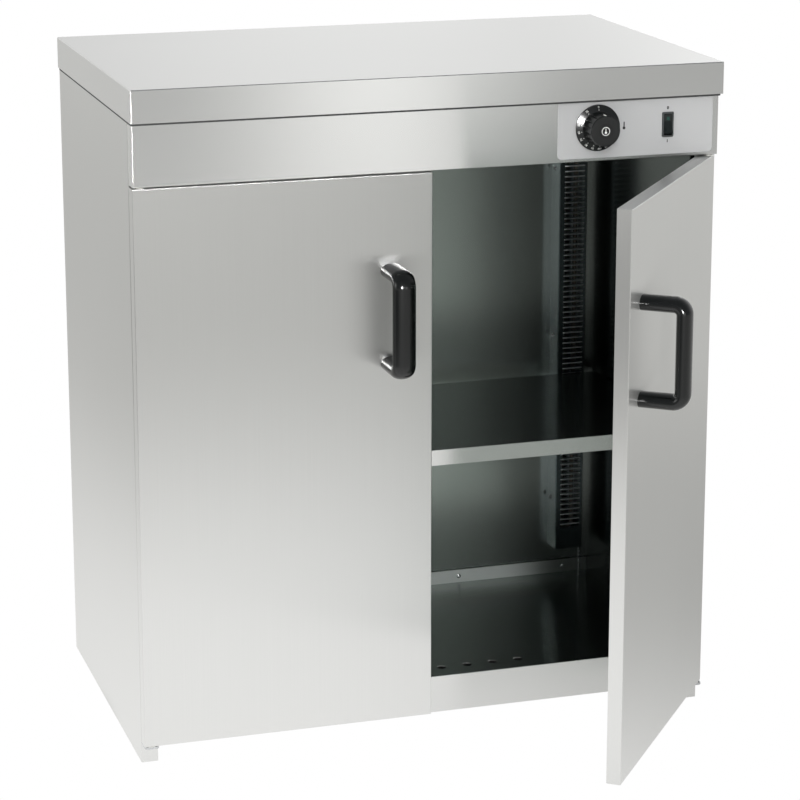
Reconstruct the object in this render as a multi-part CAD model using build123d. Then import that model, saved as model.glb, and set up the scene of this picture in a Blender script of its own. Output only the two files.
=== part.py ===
from build123d import *
import os

# Plate warmer cabinet with two hinged doors, in millimetres.
# X runs to the right as seen from the front, Y runs from front to back and Z is up.
# The origin is on the floor, in the middle of the width, on the outer face of the back panel.
# The left door is closed and the right door stands open.

os.makedirs("parts", exist_ok=True)

# Driving dimensions: the whole cabinet
WIDTH = 750.0            # worktop, side to side
DEPTH = 460.0            # worktop, front to back
HEIGHT = 850.0           # floor to working surface
WORKTOP_H = 40.0         # depth of the folded worktop edge
WORKTOP_T = 1.5          # its sheet
WORKTOP_LIP = 20.0       # width of the edge turned in underneath
OUTER_T = 1.2            # sheet of the outer panels
INNER_T = 1.0            # sheet of the lining
BODY_HALF = WIDTH / 2 - 2.0          # outer face of a side panel
WORKTOP_Z = HEIGHT - WORKTOP_H       # underside of the worktop
BODY_FRONT = -DEPTH + 32.0           # front plane of the side panels and of the sill
POST_W = 21.0            # front fold of a side panel, which runs down to a foot
POST_LIP = 14.0          # lip turned back from that fold

# Pan-head screws of the lining
SCREW_R = 1.75
SCREW_HEAD_R, SCREW_HEAD_H, SCREW_HEAD_ROUND = 3.3, 1.8, 0.9

# Fascia and controls
FASCIA_FRONT = -DEPTH + 9.0
FASCIA_Z = 732.5         # lower edge
FASCIA_HALF = BODY_HALF - 0.5
PLATE_T = 1.0            # control plate
PLATE_X0, PLATE_X1 = 159.0, 364.7
PLATE_Z0, PLATE_Z1 = 736.5, 808.5
PLATE_R = 6.0
PLATE_FRONT = FASCIA_FRONT - PLATE_T
DIAL_X, DIAL_Z = 211.0, 774.5
SKIRT_R, SKIRT_TOP_R, SKIRT_T, SKIRT_RIM = 29.0, 21.2, 3.6, 1.0
KNOB_R, KNOB_NOSE_R, KNOB_L = 20.5, 19.0, 24.0
KNOB_FLUTES = 16
CAP_R, CAP_T = 9.0, 0.8
DIAL_GAP = 1.0           # between the skirt and the control plate
SHAFT_R = 3.0
SHAFT_END = 5.0          # how far the shaft ends behind the knob's nose
SWITCH_X, SWITCH_Z = 304.2, 773.8
BEZEL_W, BEZEL_H, BEZEL_T = 15.2, 31.5, 2.0
SWITCH_W, SWITCH_H, SWITCH_D = 13.2, 29.4, 20.0
ROCKER_W, ROCKER_H = 10.6, 24.6
ROCKER_TILT = 10.0       # degrees each side of the middle
ROCKER_Y = PLATE_FRONT + 3.0         # its pins are behind the control plate's face
ROCKER_PIN_R, ROCKER_PIN_L = 1.2, 12.4
WELL_W, WELL_H, WELL_D = ROCKER_W + 0.6, 27.4, 14.0

# Thermostat and its sensing bulb under the ceiling
THERMOSTAT_W, THERMOSTAT_H, THERMOSTAT_D = 34.0, 38.0, 22.0
BELLOWS_R, BELLOWS_L = 14.0, 9.0
CAPILLARY_X, CAPILLARY_Y, CAPILLARY_Z, CAPILLARY_R = 225.0, -230.0, 776.0, 1.0
CAPILLARY_BENDS = (15.0, 6.5)
GROMMET_R = 5.0
BULB_X0, BULB_X1, BULB_R, BULB_Z = 105.0, 195.0, 3.5, 727.0
BULB_CLIPS_X = (122.0, 178.0)

# Compartment
LINER_HALF = 346.0       # inner face of a side liner
BACK_WALL = -88.0        # front face of the inner back wall
FLOOR_Z = 70.0           # top of the floor pan
CEILING_Z = 735.0        # underside of the ceiling
SILL_Z = 21.4            # lower edge of the sill
UPSTAND_Y, UPSTAND_Z = -92.0, 88.2
UPSTAND_SCREWS_X = (-310.0, -155.0, 0.0, 155.0, 310.0)
UPSTAND_SCREWS_Z = FLOOR_Z + 9.0
AIR_HOLE_R, AIR_HOLE_Y = 6.0, -399.5
AIR_HOLES_X = (28.7, 63.5, 98.3, 133.1)

# Shelf
SHELF_Z = 370.3          # top surface
SHELF_EDGE = 20.4        # depth of its folded edge
SHELF_HALF = 343.0
SHELF_FRONT, SHELF_BACK = -424.0, -123.0
RAIL_W, RAIL_H, RAIL_T = 16.0, 16.0, 1.2
RAIL_SCREWS_Y = (-385.0, -275.0, -165.0)

# Louvred heater ducts in the two rear corners
DUCT_X0, DUCT_X1 = 288.0, 328.0
DUCT_D = 32.0
DUCT_Z0 = 114.0
SLOT_X0, SLOT_X1 = 295.8, 323.4
SLOT_H, SLOT_PITCH, SLOT_Z0, SLOT_COUNT = 5.1, 7.3, 145.0, 80
DUCT_SCREWS_Y, DUCT_SCREWS_Z = BACK_WALL - 12.0, (186.0, 420.0, 655.0)
ELEMENT_R = 3.25
ELEMENT_X = (299.0, 317.0)
ELEMENT_Y = -104.0
ELEMENT_Z0, ELEMENT_Z1 = 150.0, 754.0
STAY_R = 1.2
STAY_X, STAY_Y = DUCT_X1 - 3.7, BACK_WALL - DUCT_D + 2.2

# Doors
DOOR_GAP = 3.0           # between the two closed doors
DOOR_T = 18.0
DOOR_FRONT = -DEPTH + 10.0
DOOR_BACK = DOOR_FRONT + DOOR_T
DOOR_X0, DOOR_X1 = DOOR_GAP / 2, BODY_HALF
DOOR_Z0, DOOR_Z1 = 28.5, 730.5
SKIN_T, BACK_SKIN_T = 1.2, 1.0
PIVOT_X, PIVOT_Y = DOOR_X1 - 9.5, DOOR_FRONT + 5.5
PIN_R = 2.5
BUSH_BORE = PIN_R + 0.05
BUSH_R, BUSH_L, BUSH_FLANGE_R = 3.9, 18.0, 5.0
TAB_T, TAB_GAP = 3.0, 1.0            # hinge tab under the door
PIN_IN_DOOR = 14.0       # how far each pin reaches into its bush
OPEN_ANGLE = 52.0        # degrees that the right door stands open
HOLDER_X0, HOLDER_X1, HOLDER_Z0, HOLDER_Z1 = 14.0, 60.0, 40.0, 58.0
HOLDER_T, HOLDER_WALL = 3.5, 1.4     # magnet holder on the inside of a door

# Handles: black bow handles, bolted through the door
HANDLE_X = DOOR_X0 + 52.0
HANDLE_Z, HANDLE_CC = 553.0, 117.0
HANDLE_REACH = 51.0      # door face to the middle of the grip
HANDLE_W, HANDLE_D = 29.0, 19.0
HANDLE_CORNER = 11.5
HANDLE_SCREW_R, HANDLE_SCREW_HEAD_R, HANDLE_SCREW_HEAD_H = 2.5, 4.6, 2.2

# Rear
GLAND_X, GLAND_Z, GLAND_BORE, GLAND_SHANK_R = 320.0, 772.0, 4.0, 8.0
RIVET_X, RIVET_R = 364.0, 2.0
RIVET_HEAD_R, RIVET_HEAD_H = 3.6, 1.2
RIVETS_Z = (60.0, 200.0, 340.0, 480.0, 620.0, 760.0)
TERMINALS_X = 260.0
AIR_SLOT_W, AIR_SLOT_H = 42.0, 4.0
AIR_SLOTS_X = [-330.0 + 56.0 * k for k in range(6)]
AIR_SLOTS_Z = [752.0 + 11.0 * k for k in range(4)]


def block(x0, x1, y0, y1, z0, z1):
    """A box between two opposite corners."""
    centre = Pos((x0 + x1) / 2, (y0 + y1) / 2, (z0 + z1) / 2)
    return centre * Box(abs(x1 - x0), abs(y1 - y0), abs(z1 - z0))


def rod_x(y, z, x0, x1, r):
    """A round bar along X."""
    return Pos((x0 + x1) / 2, y, z) * Rot(0, 90, 0) * Cylinder(r, abs(x1 - x0))


def rod_y(x, z, y0, y1, r):
    """A round bar along Y."""
    return Pos(x, (y0 + y1) / 2, z) * Rot(90, 0, 0) * Cylinder(r, abs(y1 - y0))


def rod_z(x, y, z0, z1, r):
    """A round bar along Z."""
    return Pos(x, y, (z0 + z1) / 2) * Cylinder(r, abs(z1 - z0))


def pan_screw(length):
    """A pan-head screw with its shank down along Z and the head's seat at zero."""
    head = Pos(0, 0, SCREW_HEAD_H / 2) * Cylinder(SCREW_HEAD_R, SCREW_HEAD_H)
    head = fillet(head.faces().sort_by(Axis.Z)[-1].edges(), SCREW_HEAD_ROUND)
    return head + Pos(0, 0, -length / 2) * Cylinder(SCREW_R, length)


def flip(shape):
    """The same shape on the other side of the cabinet's middle plane."""
    return mirror(shape, about=Plane.YZ)


def both_sides(shape):
    """A right-hand shape and its left-hand twin, as separate solids of one group."""
    return Compound([*shape.solids(), *flip(shape).solids()])


def swing(shape):
    """A closed right door's piece, turned to where the open door stands."""
    pivot = Pos(PIVOT_X, PIVOT_Y, 0)
    return pivot * Rot(0, 0, OPEN_ANGLE) * pivot.inverse() * shape


def save(name, shape):
    """Writes one node's file."""
    export_step(shape, f"parts/{name}.step")


# ---------------------------------------------------------------- outer shell

def worktop():
    """Folded stainless top: a tray upside down, with its lower edges turned in."""
    half, wall, lip = WIDTH / 2, WORKTOP_T, WORKTOP_LIP
    top = block(-half, half, -DEPTH, 0, WORKTOP_Z, HEIGHT)
    upright = top.edges().filter_by(Axis.Z)
    rim = top.faces().sort_by(Axis.Z)[-1].edges()
    top = fillet(upright + rim, 1.2)
    top -= block(-half + wall, half - wall, -DEPTH + wall, -wall, WORKTOP_Z + wall, HEIGHT - wall)
    top -= block(-half + lip, half - lip, -DEPTH + lip, -lip, WORKTOP_Z - 1, WORKTOP_Z + wall + 1)
    return top


def worktop_stiffeners():
    """Two hat-section bars under the working surface, one along each long side."""
    half, flange, hat, deep = 330.0, 30.0, 19.2, 20.0
    top = HEIGHT - WORKTOP_T
    bars = []
    for y in (-DEPTH / 3, -DEPTH * 2 / 3):
        bar = block(-half, half, y - flange, y + flange, top - deep, top)
        inner = hat - OUTER_T
        bar -= block(-half, half, y - inner, y + inner, top - deep + OUTER_T, top)
        for side in (-1, 1):
            bar -= block(-half, half, y + side * hat, y + side * flange, top - deep, top - OUTER_T)
        bars += bar.solids()
    return Compound(bars)


def side_panel():
    """Right side panel: its front edge is folded into a post that reaches the floor."""
    x, post = BODY_HALF, BODY_HALF - POST_W
    y_back = -OUTER_T
    panel = block(x - OUTER_T, x, BODY_FRONT, y_back, 0, WORKTOP_Z)
    panel += block(post, x, BODY_FRONT, BODY_FRONT + OUTER_T, 0, WORKTOP_Z)
    panel += block(post, post + OUTER_T, BODY_FRONT, BODY_FRONT + POST_LIP, 0, WORKTOP_Z)
    panel += block(post, x, y_back - OUTER_T, y_back, 0, WORKTOP_Z)
    outer = panel.edges().filter_by(Axis.Z).sort_by(lambda e: e.center().X - e.center().Y)[-1]
    panel = fillet(outer, 1.5)
    for z in RIVETS_Z:
        panel -= rod_y(RIVET_X, z, y_back - 3, y_back + 1, RIVET_R)
    return panel


def back_panel():
    """Flat outer back, riveted to both side panels, with air slots for the electrical bay."""
    panel = block(-BODY_HALF, BODY_HALF, -OUTER_T, 0, 0, WORKTOP_Z - 0.5)
    for z in AIR_SLOTS_Z:
        for x in AIR_SLOTS_X:
            panel -= block(x, x + AIR_SLOT_W, -3, 1, z, z + AIR_SLOT_H)
    panel -= rod_y(GLAND_X, GLAND_Z, -3, 1, GLAND_SHANK_R)
    for z in RIVETS_Z:
        for x in (-RIVET_X, RIVET_X):
            panel -= rod_y(x, z, -3, 1, RIVET_R)
    return panel


def back_rivets():
    """Dome-headed blind rivets that hold the back panel to the side panels."""
    rivets = []
    for z in RIVETS_Z:
        for x in (-RIVET_X, RIVET_X):
            rivet = rod_y(x, z, -2 * OUTER_T, 0, RIVET_R)
            rivet += rod_y(x, z, 0, RIVET_HEAD_H, RIVET_HEAD_R)
            rivet = fillet(rivet.faces().sort_by(Axis.Y)[-1].edges(), 1.0)
            rivets += rivet.solids()
    return Compound(rivets)


def floor_pan():
    """Floor of the compartment, with the sill folded down in front and air holes behind it."""
    half = BODY_HALF - POST_W
    pan = block(-half, half, BODY_FRONT, UPSTAND_Y, FLOOR_Z - OUTER_T, FLOOR_Z)
    pan += block(-half, half, BODY_FRONT, BODY_FRONT + OUTER_T, SILL_Z, FLOOR_Z)
    pan += block(-half, half, BODY_FRONT, BODY_FRONT + 16, SILL_Z, SILL_Z + OUTER_T)
    for side in (-1, 1):
        edge = side * half
        pan += block(edge, edge - side * OUTER_T, BODY_FRONT, UPSTAND_Y, FLOOR_Z - 22, FLOOR_Z)
        for x in AIR_HOLES_X:
            pan -= rod_z(side * x, AIR_HOLE_Y, FLOOR_Z - 3, FLOOR_Z + 1, AIR_HOLE_R)
        pan -= rod_z(side * STAY_X, STAY_Y, FLOOR_Z - 3, FLOOR_Z + 1, STAY_R)
    front = pan.edges().filter_by(Axis.X).group_by(Axis.Z)[-1].sort_by(Axis.Y)[0]
    return fillet(front, 1.0)


def rear_upstand():
    """Strip behind the floor pan that stops plates short of the rear wall."""
    half = LINER_HALF - 0.4
    strip = block(-half, half, UPSTAND_Y, UPSTAND_Y + OUTER_T, FLOOR_Z - 14, UPSTAND_Z)
    for x in UPSTAND_SCREWS_X:
        strip -= rod_y(x, UPSTAND_SCREWS_Z, UPSTAND_Y - 1, UPSTAND_Y + 3, SCREW_R)
    return strip


def upstand_screws():
    """Pan-head screws that hold the upstand to the inner back wall."""
    screws = []
    for x in UPSTAND_SCREWS_X:
        place = Pos(x, UPSTAND_Y, UPSTAND_SCREWS_Z) * Rot(90, 0, 0)
        screws += (place * pan_screw(BACK_WALL - UPSTAND_Y)).solids()
    return Compound(screws)


def side_liner():
    """Right lining sheet, with its front edge turned out to meet the post."""
    x, post = LINER_HALF, BODY_HALF - POST_W
    front = BODY_FRONT + 0.2
    liner = block(x, x + INNER_T, front, BACK_WALL, FLOOR_Z, CEILING_Z)
    liner += block(x, post, front, front + INNER_T, FLOOR_Z, CEILING_Z)
    for y in RAIL_SCREWS_Y:
        liner -= rod_x(y, rail_z() - RAIL_H / 2, x - 1, x + 3, SCREW_R)
    return liner


def inner_back():
    """Inner back wall, from side panel to side panel, in front of the wiring space."""
    half = BODY_HALF - OUTER_T
    return block(-half, half, BACK_WALL, BACK_WALL + INNER_T, FLOOR_Z - 25, CEILING_Z)


def ceiling():
    """Ceiling of the compartment and floor of the electrical bay."""
    half = BODY_HALF - POST_W
    front = BODY_FRONT + 0.2
    sheet = block(-half, half, front, BACK_WALL + INNER_T, CEILING_Z, CEILING_Z + INNER_T)
    sheet += block(-half, half, front, front + INNER_T, CEILING_Z, CEILING_Z + 12)
    for side in (-1, 1):
        for x in ELEMENT_X:
            sheet -= rod_z(side * x, ELEMENT_Y, CEILING_Z - 1, CEILING_Z + 3, ELEMENT_R)
    sheet -= rod_z(CAPILLARY_X, CAPILLARY_Y, CEILING_Z - 1, CEILING_Z + 3, GROMMET_R)
    return sheet


def side_insulation():
    """Mineral wool between the right liner and the side panel."""
    x0, x1 = LINER_HALF + INNER_T + 0.5, BODY_HALF - OUTER_T - 0.5
    y0 = BODY_FRONT + POST_LIP + 1
    return block(x0, x1, y0, BACK_WALL - 1, FLOOR_Z + 2, CEILING_Z - 2)


# ---------------------------------------------------------------- fascia and controls

def control_openings():
    """The hole for the dial's shaft and the cut-out for the switch."""
    deep = (PLATE_FRONT - 2, FASCIA_FRONT + 4)
    hole = rod_y(DIAL_X, DIAL_Z, *deep, SHAFT_R + 1.5)
    window = block(
        SWITCH_X - SWITCH_W / 2, SWITCH_X + SWITCH_W / 2, *deep,
        SWITCH_Z - SWITCH_H / 2, SWITCH_Z + SWITCH_H / 2,
    )
    return hole + window


def fascia():
    """Folded pan above the doors that carries the controls."""
    half, top = FASCIA_HALF, WORKTOP_Z - 0.2
    pan = block(-half, half, FASCIA_FRONT, BODY_FRONT, FASCIA_Z, top)
    upright = pan.edges().filter_by(Axis.Z).group_by(Axis.Y)[0]
    lower = pan.edges().filter_by(Axis.X).group_by(Axis.Y)[0].sort_by(Axis.Z)[0]
    pan = fillet(upright + ShapeList([lower]), 1.0)
    pan -= block(
        -half + OUTER_T, half - OUTER_T, FASCIA_FRONT + OUTER_T, BODY_FRONT + 1,
        FASCIA_Z + OUTER_T, top - OUTER_T,
    )
    pan -= control_openings()
    for side in (-1, 1):
        pan -= rod_z(side * PIVOT_X, PIVOT_Y, FASCIA_Z - 1, FASCIA_Z + 3, PIN_R + 0.3)
    return pan


def control_plate():
    """Flat plate stuck on the right end of the fascia."""
    plate = block(PLATE_X0, PLATE_X1, PLATE_FRONT, FASCIA_FRONT, PLATE_Z0, PLATE_Z1)
    corners = plate.edges().filter_by(Axis.Y).group_by(Axis.Z)[0]
    return fillet(corners, PLATE_R) - control_openings()


def dial_planes():
    """Back and face of the dial's skirt, and the nose of its grip."""
    back = PLATE_FRONT - DIAL_GAP
    return back, back - SKIRT_T, back - SKIRT_T - KNOB_L


def dial():
    """Skirted knob: a thin numbered skirt and a fluted grip, moulded in one."""
    back, face, nose = dial_planes()
    rim = back - SKIRT_RIM
    skirt = rod_y(DIAL_X, DIAL_Z, rim, back, SKIRT_R)
    cone = Cone(SKIRT_R - 0.3, SKIRT_TOP_R, SKIRT_T - SKIRT_RIM)
    skirt += Pos(DIAL_X, (face + rim) / 2, DIAL_Z) * Rot(90, 0, 0) * cone
    grip = Pos(DIAL_X, (face + nose) / 2, DIAL_Z) * Rot(90, 0, 0) * Cone(KNOB_R, KNOB_NOSE_R, KNOB_L)
    grip = chamfer(grip.faces().sort_by(Axis.Y)[0].edges(), 0.8)
    flute_r = 2.4
    flute_at = KNOB_NOSE_R + flute_r
    for k in range(KNOB_FLUTES):
        turn = Rot(0, 360.0 / KNOB_FLUTES * (k + 0.5), 0)
        flute = turn * Pos(flute_at, 0, 0) * Rot(90, 0, 0) * Cylinder(flute_r, KNOB_L * 2)
        grip -= Pos(DIAL_X, nose - 2, DIAL_Z) * flute
    body = skirt + grip
    body -= rod_y(DIAL_X, DIAL_Z, nose - 1, nose + CAP_T, CAP_R)
    body -= rod_y(DIAL_X, DIAL_Z, nose + SHAFT_END, back + 1, SHAFT_R)
    return body


def dial_cap():
    """Round inlay that closes the nose of the knob."""
    nose = dial_planes()[2]
    return rod_y(DIAL_X, DIAL_Z, nose, nose + CAP_T, CAP_R)


def dial_shaft():
    """Steel shaft of the thermostat, pressed into the knob."""
    return rod_y(DIAL_X, DIAL_Z, dial_planes()[2] + SHAFT_END, FASCIA_FRONT + 14, SHAFT_R)


def thermostat():
    """Capillary thermostat behind the fascia, with a bore that its shaft turns in."""
    front = FASCIA_FRONT + OUTER_T
    back, half_w, half_h = front + THERMOSTAT_D, THERMOSTAT_W / 2, THERMOSTAT_H / 2
    body = block(DIAL_X - half_w, DIAL_X + half_w, front, back, DIAL_Z - half_h, DIAL_Z + half_h)
    body += rod_y(DIAL_X, DIAL_Z, back, back + BELLOWS_L, BELLOWS_R)
    body -= rod_y(DIAL_X, DIAL_Z, front - 1, front + 14, SHAFT_R + 0.05)
    blade_w, blade_l, blade_t = 6.0, 8.0, 0.8
    for x in (DIAL_X - 14, DIAL_X + 8):
        z = DIAL_Z - half_h + 2
        body += block(x, x + blade_w, back, back + blade_l, z, z + blade_t)
    return body


def capillary():
    """Thin tube from the thermostat through the ceiling to its sensing bulb."""
    path = FilletPolyline(
        (CAPILLARY_X, FASCIA_FRONT + OUTER_T + THERMOSTAT_D + BELLOWS_L, CAPILLARY_Z),
        (CAPILLARY_X, CAPILLARY_Y, CAPILLARY_Z), (CAPILLARY_X, CAPILLARY_Y, BULB_Z),
        (BULB_X1, CAPILLARY_Y, BULB_Z), radius=CAPILLARY_BENDS,
    )
    section = Plane(origin=path @ 0, z_dir=path % 0) * Circle(CAPILLARY_R)
    tube = sweep(section, path)
    bulb = rod_x(CAPILLARY_Y, BULB_Z, BULB_X0, BULB_X1, BULB_R)
    return tube + bulb


def capillary_grommet():
    """Rubber ring where the capillary passes the ceiling."""
    seat, flange_r, flange_t = CEILING_Z + INNER_T, GROMMET_R + 2.0, 1.5
    ring = rod_z(CAPILLARY_X, CAPILLARY_Y, CEILING_Z, seat, GROMMET_R)
    ring += rod_z(CAPILLARY_X, CAPILLARY_Y, seat, seat + flange_t, flange_r)
    return ring - rod_z(CAPILLARY_X, CAPILLARY_Y, CEILING_Z - 1, seat + flange_t + 1, CAPILLARY_R)


def bulb_clips():
    """Two sheet clips that hold the sensing bulb under the ceiling."""
    half_w, sheet, foot = 4.0, 0.8, 9.0
    inner, y = BULB_R, CAPILLARY_Y
    outer = inner + sheet
    clips = []
    for x in BULB_CLIPS_X:
        clip = block(x - half_w, x + half_w, y - outer, y + outer, BULB_Z - outer, CEILING_Z)
        clip -= block(x - 5, x + 5, y - inner, y + inner, BULB_Z - inner, CEILING_Z + 1)
        clip += block(x - half_w, x + half_w, y - outer - foot, y - inner, CEILING_Z - sheet, CEILING_Z)
        clips += clip.solids()
    return Compound(clips)


def switch_housing():
    """Moulded frame of the rocker switch, snapped into the fascia."""
    body = block(
        SWITCH_X - SWITCH_W / 2, SWITCH_X + SWITCH_W / 2, PLATE_FRONT, PLATE_FRONT + SWITCH_D,
        SWITCH_Z - SWITCH_H / 2, SWITCH_Z + SWITCH_H / 2,
    )
    bezel = block(
        SWITCH_X - BEZEL_W / 2, SWITCH_X + BEZEL_W / 2, PLATE_FRONT - BEZEL_T, PLATE_FRONT,
        SWITCH_Z - BEZEL_H / 2, SWITCH_Z + BEZEL_H / 2,
    )
    bezel = fillet(bezel.edges().filter_by(Axis.Y), 1.6)
    bezel = chamfer(bezel.faces().sort_by(Axis.Y)[0].edges(), 0.6)
    body = body + bezel - block(
        SWITCH_X - WELL_W / 2, SWITCH_X + WELL_W / 2, PLATE_FRONT - 5, PLATE_FRONT + WELL_D,
        SWITCH_Z - WELL_H / 2, SWITCH_Z + WELL_H / 2,
    )
    pin_half = ROCKER_PIN_L / 2 + 0.1
    body -= rod_x(ROCKER_Y, SWITCH_Z, SWITCH_X - pin_half, SWITCH_X + pin_half, ROCKER_PIN_R + 0.05)
    blade_half, blade_l, blade_t = 3.2, 9.0, 0.8
    back = PLATE_FRONT + SWITCH_D
    for z in (SWITCH_Z - 9, SWITCH_Z, SWITCH_Z + 9):
        blade_x = (SWITCH_X - blade_half, SWITCH_X + blade_half)
        body += block(*blade_x, back, back + blade_l, z - blade_t / 2, z + blade_t / 2)
    return body


def rocker():
    """Two-position rocker, at rest with its upper half pressed in."""
    half, valley, crest = ROCKER_H / 2, 5.2, 7.2
    belly, belly_half = 7.0, 5.0
    with BuildPart() as key:
        with BuildSketch(Plane.YZ.offset(-ROCKER_W / 2)):
            with BuildLine():
                Polyline(
                    (-valley, 0), (-crest, half), (0, half - 1), (belly, belly_half),
                    (belly, -belly_half), (0, 1 - half), (-crest, -half), (-valley, 0),
                )
            make_face()
        extrude(amount=ROCKER_W)
    shape = key.part + rod_x(0, 0, -ROCKER_PIN_L / 2, ROCKER_PIN_L / 2, ROCKER_PIN_R)
    return Pos(SWITCH_X, ROCKER_Y, SWITCH_Z) * Rot(-ROCKER_TILT, 0, 0) * shape


# ---------------------------------------------------------------- shelf

def rail_z():
    """Upper face of the shelf rails."""
    return SHELF_Z - SHELF_EDGE


def shelf():
    """Loose shelf with all four edges folded down and turned in."""
    half, edge, lip = SHELF_HALF, rail_z(), 12.0
    plate = block(-half, half, SHELF_FRONT, SHELF_BACK, edge, SHELF_Z)
    front = plate.edges().filter_by(Axis.X).group_by(Axis.Z)[-1].sort_by(Axis.Y)[0]
    plate = fillet(front, 1.0)
    inside = (-half + OUTER_T, half - OUTER_T, SHELF_FRONT + OUTER_T, SHELF_BACK - OUTER_T)
    plate -= block(*inside, edge + OUTER_T, SHELF_Z - OUTER_T)
    plate -= block(-half + lip, half - lip, SHELF_FRONT + lip, SHELF_BACK - lip, edge - 1, edge + 2)
    return plate


def shelf_rail():
    """Right angle rail that the shelf rests on."""
    x, z = LINER_HALF, rail_z()
    front, back = SHELF_FRONT + 6, SHELF_BACK - 6
    rail = block(x - RAIL_W, x, front, back, z - RAIL_T, z)
    rail += block(x - RAIL_T, x, front, back, z - RAIL_H, z)
    for y in RAIL_SCREWS_Y:
        rail -= rod_x(y, z - RAIL_H / 2, x - 3, x + 1, SCREW_R)
    return rail


def rail_screws():
    """Pan-head screws that hold both rails."""
    screw = Rot(0, -90, 0) * pan_screw(RAIL_T + INNER_T + 0.4)
    x, z = LINER_HALF - RAIL_T, rail_z() - RAIL_H / 2
    return both_sides(Compound([Pos(x, y, z) * screw for y in RAIL_SCREWS_Y]))


# ---------------------------------------------------------------- heating

def duct():
    """Right louvred duct: a folded channel over the heating element, open at its foot."""
    front = BACK_WALL - DUCT_D
    channel = block(DUCT_X0, DUCT_X1, front, BACK_WALL, DUCT_Z0, CEILING_Z)
    fold = channel.edges().filter_by(Axis.Z).group_by(Axis.Y)[0]
    channel = fillet(fold, 1.0)
    channel -= block(DUCT_X0 + INNER_T, DUCT_X1 - INNER_T, front + INNER_T, 0, 0, CEILING_Z + 1)
    slots = [
        block(SLOT_X0, SLOT_X1, front - 1, front + 3, z, z + SLOT_H)
        for z in (SLOT_Z0 + SLOT_PITCH * k for k in range(SLOT_COUNT))
    ]
    channel = channel.cut(*slots)
    for z in DUCT_SCREWS_Z:
        channel -= rod_x(DUCT_SCREWS_Y, z, DUCT_X0 - 1, DUCT_X0 + 3, SCREW_R)
    return channel


def duct_screws():
    """Pan-head screws in the inner side of both ducts."""
    screw = Rot(0, -90, 0) * pan_screw(5.0)
    return both_sides(Compound([Pos(DUCT_X0, DUCT_SCREWS_Y, z) * screw for z in DUCT_SCREWS_Z]))


def duct_stays():
    """Thin rods that tie the foot of each duct to the floor pan."""
    return both_sides(rod_z(STAY_X, STAY_Y, FLOOR_Z - OUTER_T, DUCT_Z0 + 26, STAY_R))


def heating_element():
    """Right tubular element: a long hairpin hung from the ceiling, with a flange and two studs."""
    (x0, x1), y = ELEMENT_X, ELEMENT_Y
    bend, middle = (x1 - x0) / 2, (x0 + x1) / 2
    down = Line((x0, y, ELEMENT_Z1), (x0, y, ELEMENT_Z0))
    turn = ThreePointArc((x0, y, ELEMENT_Z0), (middle, y, ELEMENT_Z0 - bend), (x1, y, ELEMENT_Z0))
    up = Line((x1, y, ELEMENT_Z0), (x1, y, ELEMENT_Z1))
    section = Plane(origin=(x0, y, ELEMENT_Z1), z_dir=(0, 0, -1)) * Circle(ELEMENT_R)
    hairpin = sweep(section, Wire([down, turn, up]))
    flange_z, flange_t, margin = CEILING_Z + INNER_T, 2.0, 9.0
    hairpin += block(x0 - margin, x1 + margin, y - margin, y + margin, flange_z, flange_z + flange_t)
    stud_r, stud_l = 2.0, 10.0
    for x in ELEMENT_X:
        hairpin += rod_z(x, y, ELEMENT_Z1, ELEMENT_Z1 + stud_l, stud_r)
    return hairpin


def terminal_block():
    """Supply terminals on the ceiling, near the cable inlet."""
    z, y, width, depth, height, poles = CEILING_Z + INNER_T, -116.0, 48.0, 24.0, 20.0, 5
    body = block(
        TERMINALS_X - width / 2, TERMINALS_X + width / 2, y - depth / 2, y + depth / 2, z, z + height
    )
    screw_well_r, wire_well_r, pitch = 2.2, 2.4, 9.5
    for k in range(poles):
        x = TERMINALS_X + pitch * (k - (poles - 1) / 2)
        body -= rod_z(x, y, z + 14, z + height + 1, screw_well_r)
        body -= rod_y(x, z + 8, y - depth, y + depth, wire_well_r)
    return body


def cable_gland():
    """Nylon inlet for the supply cable: hexagon, dome and a shank through the back panel."""
    shank_l, hex_r, hex_l, dome_l = 11.0, 12.0, 5.0, 16.0
    body = rod_y(GLAND_X, GLAND_Z, -shank_l, 0, GLAND_SHANK_R)
    hexagon = extrude(Plane.XZ * RegularPolygon(hex_r, 6, major_radius=False), hex_l)
    body += Pos(GLAND_X, hex_l, GLAND_Z) * hexagon
    body += Pos(GLAND_X, hex_l + dome_l / 2, GLAND_Z) * Rot(-90, 0, 0) * Cone(10.5, 7.5, dome_l)
    return body - rod_y(GLAND_X, GLAND_Z, -shank_l - 1, hex_l + dome_l + 1, GLAND_BORE)


def gland_locknut():
    """Locknut of the cable inlet, inside the back panel."""
    nut_r, nut_t = 11.5, 4.0
    nut = extrude(Plane.XZ * RegularPolygon(nut_r, 6, major_radius=False), nut_t)
    nut = Pos(GLAND_X, -OUTER_T, GLAND_Z) * nut
    return nut - rod_y(GLAND_X, GLAND_Z, -12, 2, GLAND_SHANK_R)


# ---------------------------------------------------------------- hinges

def hinge_plates():
    """Upper hinge plates, inside the fascia above its lower fold."""
    z, edge, width = FASCIA_Z + OUTER_T, FASCIA_HALF - OUTER_T, 34.0
    plate = block(edge - width, edge, FASCIA_FRONT + OUTER_T, BODY_FRONT, z, z + TAB_T)
    return both_sides(plate - rod_z(PIVOT_X, PIVOT_Y, z - 1, z + TAB_T + 1, PIN_R))


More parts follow.
